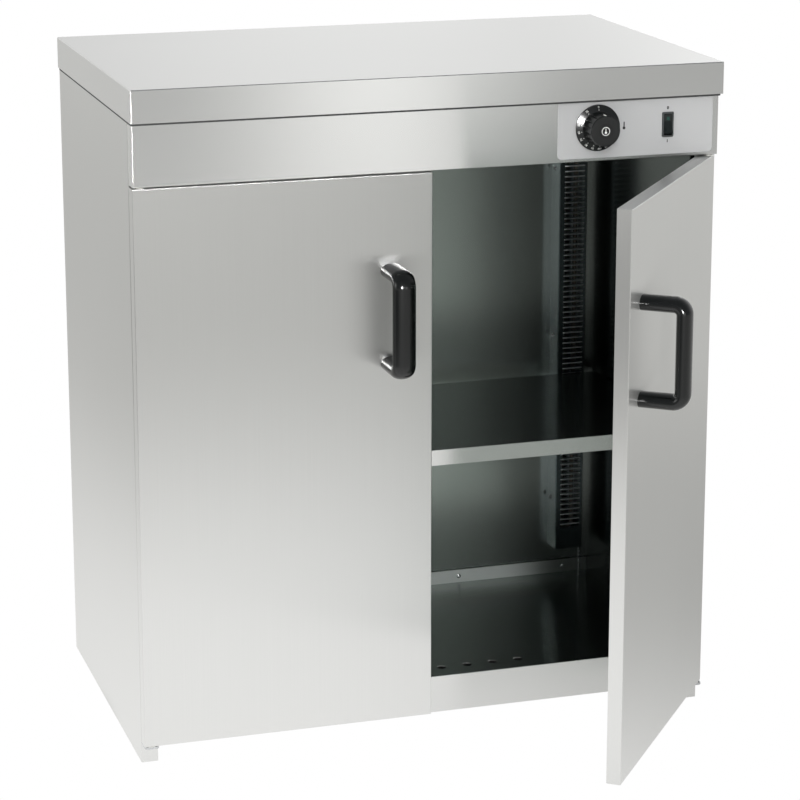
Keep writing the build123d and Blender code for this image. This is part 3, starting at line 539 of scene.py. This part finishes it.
down_by = add_node(
    tree, "ShaderNodeMath", {"operation": "MULTIPLY"},
    {0: down.outputs[0], 1: sizes_in.outputs["Drop"]},
)
fall = add_node(
    tree, "ShaderNodeMath", {"operation": "MULTIPLY", 1: -1.0}, {0: down_by.outputs[0]}
)
hood_at = add_node(
    tree, "ShaderNodeCombineXYZ",
    links={"X": spot_parts.outputs["X"], "Y": forward.outputs[0], "Z": fall.outputs[0]},
)
hood = add_node(
    tree, "GeometryNodeSetPosition",
    links={"Geometry": flat_sheet.outputs["Mesh"], "Position": hood_at.outputs[0]},
)
outer = add_node(
    tree, "GeometryNodeExtrudeMesh", {"mode": "FACES", "Individual": False},
    {"Mesh": hood.outputs[0], "Offset Scale": sizes_in.outputs["Sheet"]},
)
inner = add_node(tree, "GeometryNodeFlipFaces", links={"Mesh": hood.outputs[0]})
shell = add_node(
    tree, "GeometryNodeJoinGeometry", links={"Geometry": [outer.outputs["Mesh"], inner.outputs[0]]}
)
closed = add_node(
    tree, "GeometryNodeMergeByDistance", {"Distance": 0.00001}, {"Geometry": shell.outputs[0]}
)
step = add_node(tree, "ShaderNodeCombineXYZ", links={"Z": sizes_in.outputs["Pitch"]})
column = add_node(
    tree, "GeometryNodeMeshLine", {"mode": "OFFSET"},
    {"Count": sizes_in.outputs["Count"], "Offset": step.outputs[0]},
)
row = add_node(
    tree, "GeometryNodeInstanceOnPoints",
    links={"Points": column.outputs[0], "Instance": closed.outputs[0]},
)
both_ducts = add_node(
    tree, "GeometryNodeInstanceOnPoints",
    links={"Points": sizes_in.outputs["Geometry"], "Instance": row.outputs[0]},
)
# Painted highlight: the lips get a near-white colour, far paler than the painted-dark duct sheet
# they are pressed from, and a rough finish, so they show as pale lines.
pale_lit_hood_steel = ground_steel("highlight_pale_hood_stainless", "#F0F2F2", "#F6F8F8", 0.6, 0.0, 0.02)
finish_tree(tree, outlet, both_ducts.outputs[0], pale_lit_hood_steel)

slot_middle, duct_face, first_slot_top = 0.3096, -0.1197, 0.1504
louvres = grow(
    "duct_louvres", tree, louvre_sizes,
    [(side * slot_middle, duct_face, first_slot_top) for side in (-1, 1)], [(0, -1, 0)] * 2,
)
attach(louvres, "cabinet")


# ------------------------------------------------------------ lining screws
# Zinc-plated pan-head screws with a cross recess, driven into the rails, the ducts and the
# upstand. No two recesses stand at the same angle.

wing_length, wing_width, recess_depth = 0.0032, 0.0007, 0.0016
bore_radius, bore_depth, trim_block, almost_half = 0.0011, 0.0012, 0.02, 0.499


def fastener_tree(name, sizes, material, recess):
    """A domed head with a recess and a shank, put on points that say which way it faces."""
    tree, sizes_in, outlet = start_tree(name, sizes)
    ball = add_node(tree, "GeometryNodeMeshUVSphere", {"Segments": 24, "Rings": 12, "Radius": 1.0})
    stretch = add_node(
        tree, "ShaderNodeCombineXYZ",
        links={"X": sizes_in.outputs["Head Radius"], "Y": sizes_in.outputs["Head Radius"],
               "Z": sizes_in.outputs["Head Height"]},
    )
    dome = add_node(
        tree, "GeometryNodeTransform",
        links={"Geometry": ball.outputs[0], "Scale": stretch.outputs[0]},
    )
    under = add_node(tree, "GeometryNodeMeshCube", {"Size": (trim_block,) * 3})
    cutters = [add_node(
        tree, "GeometryNodeTransform", {"Translation": (0, 0, -trim_block / 2)},
        {"Geometry": under.outputs[0]},
    ).outputs[0]]
    lift = add_node(tree, "ShaderNodeCombineXYZ", links={"Z": sizes_in.outputs["Head Height"]})
    if recess == "cross":
        for across in ((wing_length, wing_width), (wing_width, wing_length)):
            wing = add_node(tree, "GeometryNodeMeshCube", {"Size": (*across, recess_depth)})
            cutters.append(add_node(
                tree, "GeometryNodeTransform",
                links={"Geometry": wing.outputs[0], "Translation": lift.outputs[0]},
            ).outputs[0])
    else:
        drill = add_node(
            tree, "GeometryNodeMeshCylinder",
            {"Vertices": 20, "Radius": bore_radius, "Depth": bore_depth},
        )
        cutters.append(add_node(
            tree, "GeometryNodeTransform",
            links={"Geometry": drill.outputs["Mesh"], "Translation": lift.outputs[0]},
        ).outputs[0])
    head = add_node(
        tree, "GeometryNodeMeshBoolean", {"operation": "DIFFERENCE"},
        {"Mesh 1": dome.outputs[0], "Mesh 2": cutters},
    )
    shank = add_node(
        tree, "GeometryNodeMeshCylinder", {"Vertices": 20},
        {"Radius": sizes_in.outputs["Shank Radius"], "Depth": sizes_in.outputs["Shank Length"]},
    )
    half = add_node(
        tree, "ShaderNodeMath", {"operation": "MULTIPLY", 1: -almost_half},
        {0: sizes_in.outputs["Shank Length"]},
    )
    sink = add_node(tree, "ShaderNodeCombineXYZ", links={"Z": half.outputs[0]})
    seated = add_node(
        tree, "GeometryNodeTransform",
        links={"Geometry": shank.outputs["Mesh"], "Translation": sink.outputs[0]},
    )
    whole = add_node(
        tree, "GeometryNodeJoinGeometry", links={"Geometry": [head.outputs[0], seated.outputs[0]]}
    )
    way = add_node(
        tree, "GeometryNodeInputNamedAttribute", {"data_type": "FLOAT_VECTOR", "Name": "facing"}
    )
    aim = add_node(
        tree, "FunctionNodeAlignRotationToVector", {"axis": "Z"}, {"Vector": way.outputs[0]}
    )
    placed = add_node(
        tree, "GeometryNodeInstanceOnPoints",
        links={"Points": sizes_in.outputs["Geometry"], "Instance": whole.outputs[0],
               "Rotation": aim.outputs[0]},
    )
    turn = add_node(
        tree, "FunctionNodeRandomValue",
        {"data_type": "FLOAT_VECTOR", 0: (0, 0, 0), 1: (0, 0, math.pi / 2), "Seed": 7},
    )
    turned = add_node(
        tree, "GeometryNodeRotateInstances", {"Local Space": True},
        {"Instances": placed.outputs[0], "Rotation": turn.outputs[0]},
    )
    finish_tree(tree, outlet, turned.outputs[0], material)
    return tree


pan_sizes = {
    "Head Radius": 0.0033, "Head Height": 0.0018, "Shank Radius": 0.00175, "Shank Length": 0.004,
}
pan_screw = fastener_tree("cross_recess_screw", pan_sizes, zinc, "cross")
rail_face, rail_row, duct_side, duct_column = 0.3448, 0.3419, 0.288, -0.1
upstand_face, upstand_row = -0.092, 0.079
screw_places = {
    "rail_screws": [
        ((side * rail_face, y, rail_row), (-side, 0, 0))
        for side in (-1, 1) for y in (-0.385, -0.275, -0.165)
    ],
    "duct_screws": [
        ((side * duct_side, duct_column, z), (-side, 0, 0))
        for side in (-1, 1) for z in (0.186, 0.42, 0.655)
    ],
    "upstand_screws": [
        ((x, upstand_face, upstand_row), (0, -1, 0)) for x in (-0.31, -0.155, 0, 0.155, 0.31)
    ],
}
for name, places in screw_places.items():
    screws = grow(name + "_cross", pan_screw, pan_sizes, *zip(*places))
    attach(screws, "cabinet")
    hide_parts(name)


# ------------------------------------------------------------ handle screws
# Larger screws of the same kind, from the inside of each door into the handle. The right door
# stands open, so its pair is turned about the hinge with it.

open_angle = math.radians(52)
hinge_line = Vector((0.3635, -0.4445, 0))


def opened(point):
    """Where a point of the closed right door is while the door stands open."""
    turn = Matrix.Rotation(open_angle, 3, "Z")
    return hinge_line + turn @ (Vector(point) - hinge_line)


handle_screw_sizes = {
    "Head Radius": 0.0046, "Head Height": 0.0022, "Shank Radius": 0.0024, "Shank Length": 0.03,
}
handle_screw = fastener_tree("handle_screw", handle_screw_sizes, zinc, "cross")
handle_middle, handle_low, handle_high, door_inside = 0.0535, 0.4945, 0.6115, -0.432
for side, body in ((-1, "left_door"), (1, "right_door")):
    places = [Vector((side * handle_middle, door_inside, z)) for z in (handle_low, handle_high)]
    facing = Vector((0, 1, 0))
    if side > 0:
        facing = opened(hinge_line + facing) - hinge_line
        places = [opened(place) for place in places]
    screws = grow(
        body + "_handle_screws_cross", handle_screw, handle_screw_sizes, places, [facing] * 2
    )
    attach(screws, body)
    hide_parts(body.replace("door", "handle_screws"))


# ------------------------------------------------------------ back rivets
# Steel blind rivets that hold the back panel. The middle of each head is hollow, where its
# mandrel broke off.

rivet_sizes = {
    "Head Radius": 0.0036, "Head Height": 0.0012, "Shank Radius": 0.0019, "Shank Length": 0.0024,
}
rivet = fastener_tree("blind_rivet", rivet_sizes, zinc, "pin")
rivet_column, rivet_rows = 0.364, (0.06, 0.2, 0.34, 0.48, 0.62, 0.76)
places = [(side * rivet_column, 0, z) for z in rivet_rows for side in (-1, 1)]
rivets = grow("back_rivets_domed", rivet, rivet_sizes, places, [(0, 1, 0)] * len(places))
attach(rivets, "cabinet")
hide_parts("back_rivets")


# ------------------------------------------------------------ control plate
# Aluminium plate, 1 mm thick, with rounded corners and a bright cut edge, lacquered matte grey
# and stuck on the fascia.

def moulded(name, colour_hex, rough, grain, depth):
    """A plastic, rubber or lacquer surface with a fine moulded grain."""
    made, tree, shader = start_material(name)
    place = add_node(tree, "ShaderNodeTexCoord")
    texture = add_node(
        tree, "ShaderNodeTexNoise", {"Scale": 1 / grain, "Detail": 2.0},
        {"Vector": place.outputs["Object"]},
    )
    gloss = add_node(
        tree, "ShaderNodeMapRange", {"To Min": rough - 0.04, "To Max": rough + 0.04},
        {"Value": texture.outputs[0]},
    )
    relief = add_node(
        tree, "ShaderNodeBump", {"Strength": 0.2, "Distance": depth}, {"Height": texture.outputs[0]},
    )
    shader.inputs["Base Color"].default_value = linear(colour_hex)
    tree.links.new(gloss.outputs[0], shader.inputs["Roughness"])
    tree.links.new(relief.outputs[0], shader.inputs["Normal"])
    return made


def rebuilt(node_name, piece_name, edge_round, segments=3):
    """A joined copy of a CAD node with its flats merged and its edges rounded."""
    flat_within, edge_from = math.radians(0.5), math.radians(35)
    shape = bmesh.new()
    shape.from_mesh(nodes[node_name].data)
    bmesh.ops.remove_doubles(shape, verts=shape.verts, dist=1e-6)
    bmesh.ops.dissolve_limit(shape, angle_limit=flat_within, verts=shape.verts, edges=shape.edges)
    mesh = bpy.data.meshes.new(piece_name)
    shape.to_mesh(mesh)
    shape.free()
    for polygon in mesh.polygons:
        polygon.use_smooth = True
    piece = added(piece_name, mesh)
    bevel = piece.modifiers.new("edge_round", "BEVEL")
    bevel.width, bevel.segments = edge_round, segments
    bevel.limit_method, bevel.angle_limit = "ANGLE", edge_from
    piece.modifiers.new("flat_faces_stay_flat", "WEIGHTED_NORMAL")
    piece.data = settled(piece)
    piece.modifiers.clear()
    piece.data.materials.clear()
    return piece


# Light grey and quite matte, with a soft glow and no mirror image.
grey_lacquer = moulded("lacquered_aluminium", "#BCBCBC", 0.5, 0.0015, 0.00002)
plate = rebuilt("control_plate", "control_plate_bevelled", edge_round=0.0004)
plate.data.materials.append(grey_lacquer)
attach(plate, "cabinet")
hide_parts("control_plate")


# ------------------------------------------------------------ plate printing
# Signs screen-printed in dark ink: 0 and I at the switch, and a thermometer beside the dial.
# The ink stands a twentieth of a millimetre proud.

def ink(name, colour_hex):
    """Matte ink, a little thinner in specks of 0.7 mm."""
    made, tree, shader = start_material(name)
    place = add_node(tree, "ShaderNodeTexCoord")
    thin = add_node(
        tree, "ShaderNodeTexNoise", {"Scale": 1500.0, "Detail": 2.0},
        {"Vector": place.outputs["Object"]},
    )
    matte = add_node(
        tree, "ShaderNodeMapRange", {"To Min": 0.45, "To Max": 0.7}, {"Value": thin.outputs[0]}
    )
    shader.inputs["Base Color"].default_value = linear(colour_hex)
    tree.links.new(matte.outputs[0], shader.inputs["Roughness"])
    return made


# Near black, flat against the lacquer.
dark_ink = ink("dark_screen_ink", "#141618")
ink_height = 0.00005


def printed_word(text, size, placing, stroke=0.0):
    """Loose faces of a short word, laid on a surface by a matrix."""
    curve = bpy.data.curves.new("word", "FONT")
    curve.body, curve.size, curve.extrude = text, size, ink_height
    curve.align_x, curve.align_y = "CENTER", "CENTER"
    curve.offset = stroke
    curve.resolution_u = 4
    word = added("word", curve)
    mesh = settled(word)
    bpy.data.objects.remove(word)
    mesh.transform(placing)
    return mesh


def thick_shape(corners, lift):
    """A closed shape between a flat outline and the same outline moved by a vector."""
    shape = bmesh.new()
    face = shape.faces.new([shape.verts.new(corner) for corner in corners])
    raised = bmesh.ops.extrude_face_region(shape, geom=[face])["geom"]
    lifted = [part for part in raised if isinstance(part, bmesh.types.BMVert)]
    bmesh.ops.translate(shape, verts=lifted, vec=lift)
    bmesh.ops.recalc_face_normals(shape, faces=shape.faces)
    return shape


def printed_shape(outline, placing):
    """A flat shape of a given outline, as thick as the ink, laid on a surface by a matrix."""
    shape = thick_shape([(x, y, -ink_height) for x, y in outline], (0, 0, 2 * ink_height))
    mesh = bpy.data.meshes.new("shape")
    shape.to_mesh(mesh)
    shape.free()
    mesh.transform(placing)
    return mesh


def arc(radius, start, end, steps, x=0.0, y=0.0):
    """Points of an arc, with its angles in degrees."""
    turns = [math.radians(start + (end - start) * k / steps) for k in range(steps + 1)]
    return [(x + radius * math.cos(turn), y + radius * math.sin(turn)) for turn in turns]


def printed_piece(name, meshes, material, body):
    """Joins printed marks into one piece."""
    whole = bmesh.new()
    for mesh in meshes:
        whole.from_mesh(mesh)
        bpy.data.meshes.remove(mesh)
    bmesh.ops.remove_doubles(whole, verts=whole.verts, dist=1e-7)
    joined = bpy.data.meshes.new(name)
    whole.to_mesh(joined)
    whole.free()
    joined.materials.append(material)
    piece = added(name, joined)
    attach(piece, body)


def on_front(x, y, z):
    """Matrix that stands a flat mark up, facing forwards."""
    return Matrix.Translation((x, y, z)) @ Matrix.Rotation(math.pi / 2, 4, "X")


plate_face, switch_x, zero_z, one_z = -0.45202, 0.3042, 0.7945, 0.7529
sign_size, sign_stroke, thermometer_at = 0.0048, 0.0003, on_front(0.2462, plate_face, 0.7757)
stem_half, stem_low, stem_high, bulb_radius, bulb_low = 0.0008, -0.0024, 0.0037, 0.0019, -0.0034
stem = [(stem_half, stem_low)] + arc(stem_half, 0, 180, 8, 0, stem_high) + [(-stem_half, stem_low)]
printed_piece(
    "plate_signs",
    [
        printed_word("0", sign_size, on_front(switch_x, plate_face, zero_z), sign_stroke),
        printed_word("I", sign_size, on_front(switch_x, plate_face, one_z), sign_stroke),
        printed_shape(stem, thermometer_at),
        printed_shape(arc(bulb_radius, 0, 345, 23, 0, bulb_low), thermometer_at),
    ],
    dark_ink, "cabinet",
)


# ------------------------------------------------------------ worktop shade strip
# A dark strip in the joint between the worktop's turned-in edge and the body, as painted shade: it
# stands in for the shadow line under the worktop at the front and the sides.

shade_strip_half, shade_strip_front, shade_strip_inner_half, shade_strip_inner_front = 0.3737, -0.4536, 0.3724, -0.4508
shade_strip_low, shade_strip_high, shade_strip_end, shade_strip_round = 0.8066, 0.80998, -0.003, 0.0004
outline = [
    (-shade_strip_half, shade_strip_end), (-shade_strip_half, shade_strip_front), (shade_strip_half, shade_strip_front), (shade_strip_half, shade_strip_end),
    (shade_strip_inner_half, shade_strip_end), (shade_strip_inner_half, shade_strip_inner_front),
    (-shade_strip_inner_half, shade_strip_inner_front), (-shade_strip_inner_half, shade_strip_end),
]
strip = thick_shape([(x, y, shade_strip_low) for x, y in outline], (0, 0, shade_strip_high - shade_strip_low))
lower_edges = [edge for edge in strip.edges if all(v.co.z < shade_strip_low + 1e-5 for v in edge.verts)]
bmesh.ops.bevel(strip, geom=lower_edges, offset=shade_strip_round, segments=2, affect="EDGES")
shade_strip_mesh = bpy.data.meshes.new("worktop_shade_strip")
strip.to_mesh(shade_strip_mesh)
strip.free()
# Charcoal without any shine, the colour of the painted shadow line.
shade_strip_mesh.materials.append(moulded("painted_shade_strip_black", "#2A2C2C", 0.6, 0.0008, 0.00003))
shade_strip = added("worktop_shade_strip", shade_strip_mesh)
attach(shade_strip, "cabinet")


# ------------------------------------------------------------ plastic parts
# Moulded small parts: glass-filled polyamide, a rubber grommet, and nylon bushes and terminals. The
# mineral wool in the sides and the doors is here too.

# Black with a soft sheen.
black_plastic = moulded("moulded_black_polyamide", "#141616", 0.3, 0.0012, 0.00003)
for name in (
    "cable_gland", "gland_locknut", "left_magnet_holder", "right_magnet_holder", "thermostat",
):
    paint(name, black_plastic)
# A lighter frame that sets off the glossy rocker.
paint("switch_housing", moulded("dark_grey_polyamide", "#3C4040", 0.35, 0.0012, 0.00002))
# Flat black.
paint("capillary_grommet", moulded("black_rubber", "#161616", 0.6, 0.001, 0.00003))
# Off-white, slightly waxy.
nylon = moulded("white_nylon", "#DEDDD6", 0.45, 0.001, 0.00002)
for name in ("left_door_bushes", "right_door_bushes", "terminal_block"):
    paint(name, nylon)
# Straw yellow, rough and matte.
wool = moulded("mineral_wool", "#C9BC8C", 0.9, 0.004, 0.001)
for name in ("left_side_insulation", "right_side_insulation", "left_door_core", "right_door_core"):
    paint(name, wool)


# ------------------------------------------------------------ handles
# Bow handles of polished black polyamide, moulded as one oval bar that bends out from the door and
# back. Two screws from the inside of the door hold each.

def tube(shape, path, section):
    """A bar of one section along a path in a plane across x, closed at both ends."""
    rings = []
    for index, point in enumerate(path):
        before, after = path[max(index - 1, 0)], path[min(index + 1, len(path) - 1)]
        along = (Vector(after) - Vector(before)).normalized()
        side = Vector((1, 0, 0))
        across = along.cross(side)
        rings.append([shape.verts.new(Vector(point) + side * u + across * v) for u, v in section])
    count = len(section)
    for first, second in zip(rings, rings[1:]):
        for k in range(count):
            shape.faces.new((first[k], first[(k + 1) % count], second[(k + 1) % count], second[k]))
    shape.faces.new(list(reversed(rings[0])))
    shape.faces.new(rings[-1])
    bmesh.ops.recalc_face_normals(shape, faces=shape.faces)


def oval(half_width, half_depth, squareness, count):
    """Points of an oval that is squarer than an ellipse where squareness is above 2."""
    points = []
    for k in range(count):
        turn = 2 * math.pi * k / count
        cosine, sine = math.cos(turn), math.sin(turn)
        u = math.copysign(abs(cosine) ** (2 / squareness), cosine) * half_width
        v = math.copysign(abs(sine) ** (2 / squareness), sine) * half_depth
        points.append((u, v))
    return points


bar_half_width, bar_half_depth, bar_corner = 0.01445, 0.00945, 0.0115
bar_squareness, bar_points, foot, reach = 2.1, 48, -0.45, -0.501
low_bend = [
    (reach + bar_corner + u, handle_low + bar_corner + v) for u, v in arc(bar_corner, 270, 180, 12)
]
high_bend = [
    (reach + bar_corner + u, handle_high - bar_corner + v) for u, v in arc(bar_corner, 180, 90, 12)
]
bar_line = [(foot, handle_low)] + low_bend + high_bend + [(foot, handle_high)]
# Deep black gloss: narrow bright lines along the bar and hot spots at its bends.
handle_plastic = moulded("polished_black_handle", "#070909", 0.16, 0.0015, 0.000005)
for side, body in ((-1, "left_door"), (1, "right_door")):
    shape = bmesh.new()
    tube(
        shape, [(side * handle_middle, y, z) for y, z in bar_line],
        oval(bar_half_width, bar_half_depth, bar_squareness, bar_points),
    )
    if side > 0:
        for vert in shape.verts:
            vert.co = opened(vert.co)
    name = body.replace("door", "handle")
    mesh = bpy.data.meshes.new(name + "_bow")
    shape.to_mesh(mesh)
    shape.free()
    for polygon in mesh.polygons:
        polygon.use_smooth = True
    mesh.set_sharp_from_angle(angle=math.radians(50))
    mesh.materials.append(handle_plastic)
    bow = added(name + "_bow", mesh)
    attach(bow, body)
    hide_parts(name)


# ------------------------------------------------------------ rocker
# Glossy black two-position rocker with a hollow face, on two moulded pins. A green window is set
# in its upper half. It rests with that half pressed in.

switch_z, pin_depth, rocker_tilt = 0.7738, -0.449, math.radians(-10)
key_half_width, key_half_height, key_valley, key_crest = 0.0053, 0.0123, 0.0052, 0.0072
key_belly, belly_half, key_shoulder, key_round = 0.007, 0.005, 0.001, 0.0006
pin_radius, pin_length = 0.0012, 0.0124
rocker_place = Matrix.Translation((switch_x, pin_depth, switch_z))
rocker_place @= Matrix.Rotation(rocker_tilt, 4, "X")


def key_face(z):
    """Depth of the rocker's hollow face at a height above its pins."""
    return -key_valley - (key_crest - key_valley) * (z / key_half_height) ** 2


def bar_from(name, profile, half_width, edge_round):
    """A bar of a given side profile in the y-z plane, with rounded edges."""
    shape = thick_shape([(-half_width, y, z) for y, z in profile], (2 * half_width, 0, 0))
    sharp = [edge for edge in shape.edges if edge.calc_face_angle(0) > math.radians(30)]
    bmesh.ops.bevel(
        shape, geom=sharp, offset=edge_round, segments=4, affect="EDGES", clamp_overlap=True
    )
    mesh = bpy.data.meshes.new(name)
    shape.to_mesh(mesh)
    shape.free()
    return mesh


steps = [key_half_height * (k / 12 - 1) for k in range(25)]
key_side = [(key_face(z), z) for z in steps] + [
    (0, key_half_height - key_shoulder), (key_belly, belly_half), (key_belly, -belly_half),
    (0, key_shoulder - key_half_height),
]
key_mesh = bar_from("rocker_key", key_side, key_half_width, key_round)
pins = bmesh.new()
pins.from_mesh(key_mesh)
bmesh.ops.create_cone(
    pins, cap_ends=True, segments=24, radius1=pin_radius, radius2=pin_radius, depth=pin_length,
    matrix=Matrix.Rotation(math.pi / 2, 4, "Y"),
)
pins.to_mesh(key_mesh)
pins.free()
window_low, window_high, window_half_width = 0.0045, 0.0088, 0.0019
window_proud, window_set_in, window_round = 0.00012, 0.0006, 0.0001
heights = [window_low + (window_high - window_low) * k / 8 for k in range(9)]
window_side = [(key_face(z) - window_proud, z) for z in heights]
window_side += [(key_face(z) + window_set_in, z) for z in reversed(heights)]
window_mesh = bar_from("rocker_window", window_side, window_half_width, window_round)
# Piano black: one sharp light across the hollow face.
gloss_plastic = moulded("glossy_black_abs", "#0E1514", 0.1, 0.002, 0.00001)
# Unlit green, dark and glassy.
green_window = moulded("green_acrylic_window", "#16443A", 0.08, 0.003, 0.000005)
for mesh, material in ((key_mesh, gloss_plastic), (window_mesh, green_window)):
    mesh.transform(rocker_place)
    mesh.materials.append(material)
    for polygon in mesh.polygons:
        polygon.use_smooth = True
    mesh.set_sharp_from_angle(angle=math.radians(40))
    piece = added(mesh.name, mesh)
    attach(piece, "rocker")
    if mesh == key_mesh:
        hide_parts("rocker")


# ------------------------------------------------------------ dial
# Black polyamide knob with a polished conical skirt and a fluted grip, moulded in one piece.
# A glossier black inlay closes its nose.

dial_x, dial_z = 0.211, 0.7745
skirt_inner, skirt_outer = 0.0212, 0.029
skirt_front, skirt_back = -0.4566, -0.454
slope = math.atan2(skirt_back - skirt_front, skirt_outer - skirt_inner)
# Polished black: one bright fan on the cone, soft streaks on the flutes.
knob_plastic = moulded("polished_black_polyamide", "#0E1010", 0.2, 0.0012, 0.000005)
dial = rebuilt("dial", "dial_rounded", edge_round=0.0003, segments=2)
dial.data.materials.append(knob_plastic)

# Its facets take the true cone's directions, so that the highlight runs round it smoothly.
ways = [Vector(corner.vector) for corner in dial.data.corner_normals]
same_face = math.radians(9)
for polygon in dial.data.polygons:
    for loop in polygon.loop_indices:
        spot = dial.data.vertices[dial.data.loops[loop].vertex_index].co
        turn = math.atan2(spot.z - dial_z, spot.x - dial_x)
        outward = math.sin(slope)
        true_way = Vector((math.cos(turn) * outward, -math.cos(slope), math.sin(turn) * outward))
        if polygon.normal.angle(true_way) < same_face:
            ways[loop] = true_way
dial.data.normals_split_custom_set(ways)
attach(dial, "dial")
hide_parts("dial")

inlay = rebuilt("dial_cap", "dial_inlay", edge_round=0.0002, segments=2)
# A shade darker and sharper than the knob, so its rim shows.
inlay.data.materials.append(moulded("glossy_black_inlay", "#08090A", 0.15, 0.002, 0.00001))
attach(inlay, "dial")
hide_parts("dial_cap")


# ------------------------------------------------------------ dial printing
# White hot-stamped numbers from 30 to 110, 0 at the stop, a dot under each, a pointer line on
# the grip, and a ring with a thermometer on the inlay.

# Clean white, easy to read against the black.
white_ink = ink("white_hot_stamping", "#F2F2EE")
stamp_lift = 0.00002


def on_skirt(radius, angle):
    """Matrix that lays a mark on the conical skirt, its top pointing outwards."""
    turn = math.radians(angle)
    cosine, sine = math.cos(turn), math.sin(turn)
    flat, rise = math.cos(slope), math.sin(slope)
    outwards = Vector((cosine * flat, rise, sine * flat))
    normal = Vector((cosine * rise, -flat, sine * rise))
    depth = skirt_front + (radius - skirt_inner) * math.tan(slope)
    place = Vector((dial_x + radius * cosine, depth, dial_z + radius * sine))
    basis = Matrix((outwards.cross(normal), outwards, normal)).transposed()
    return Matrix.Translation(place + normal * stamp_lift) @ basis.to_4x4()


number_radius, number_size, dot_radius, dot_size = 0.0258, 0.0036, 0.0226, 0.0005
zero_angle, first_angle, angle_step = 90, 126.5, 21.25
stamps = [printed_word("0", number_size, on_skirt(number_radius, zero_angle))]
angles = [first_angle + angle_step * step for step in range(9)]
for number, angle in zip(range(30, 120, 10), angles):
    stamps.append(printed_word(str(number), number_size, on_skirt(number_radius, angle)))
for angle in [zero_angle] + angles:
    stamps.append(printed_shape(arc(dot_size, 0, 345, 23), on_skirt(dot_radius, angle)))

nose = -0.4806
cap_face = nose - stamp_lift
ring_outer, ring_inner, almost_round = 0.0054, 0.0046, 359.99
ring = arc(ring_outer, 0, almost_round, 48) + arc(ring_inner, almost_round, 0, 48)
stamps.append(printed_shape(ring, on_front(dial_x, cap_face, dial_z)))
bulb_radius, bulb_low, stem_half, stem_high = 0.0015, -0.0016, 0.0005, 0.0032
bulb = arc(bulb_radius, 110, 430, 20, 0, bulb_low)
sign = bulb + arc(stem_half, 0, 180, 6, 0, stem_high) + [(-stem_half, 0.0)]
stamps.append(printed_shape(sign, on_front(dial_x, cap_face, dial_z)))
printed_piece("dial_numbers", stamps, white_ink, "dial")

pointer_length, pointer_width, pointer_depth, pointer_round = 0.007, 0.0016, 0.0005, 0.0001
grip_front_radius, grip_taper, grip_length, nose_round = 0.01918, 0.0015, 0.024, 0.0008
pointer = bmesh.new()
bmesh.ops.create_cube(pointer, size=1.0)
bmesh.ops.scale(pointer, verts=pointer.verts, vec=(pointer_width, pointer_length, pointer_depth))
bmesh.ops.bevel(pointer, geom=pointer.edges[:], offset=pointer_round, segments=2, affect="EDGES")
lean = Matrix.Rotation(math.atan2(grip_taper, grip_length), 4, "X")
back_from_nose = nose_round + pointer_length / 2
bmesh.ops.transform(
    pointer, verts=pointer.verts,
    matrix=Matrix.Translation((dial_x, nose + back_from_nose, dial_z + grip_front_radius)) @ lean,
)
pointer_mesh = bpy.data.meshes.new("dial_pointer")
pointer.to_mesh(pointer_mesh)
pointer.free()
pointer_mesh.materials.append(white_ink)
pointer_piece = added("dial_pointer", pointer_mesh)
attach(pointer_piece, "dial")
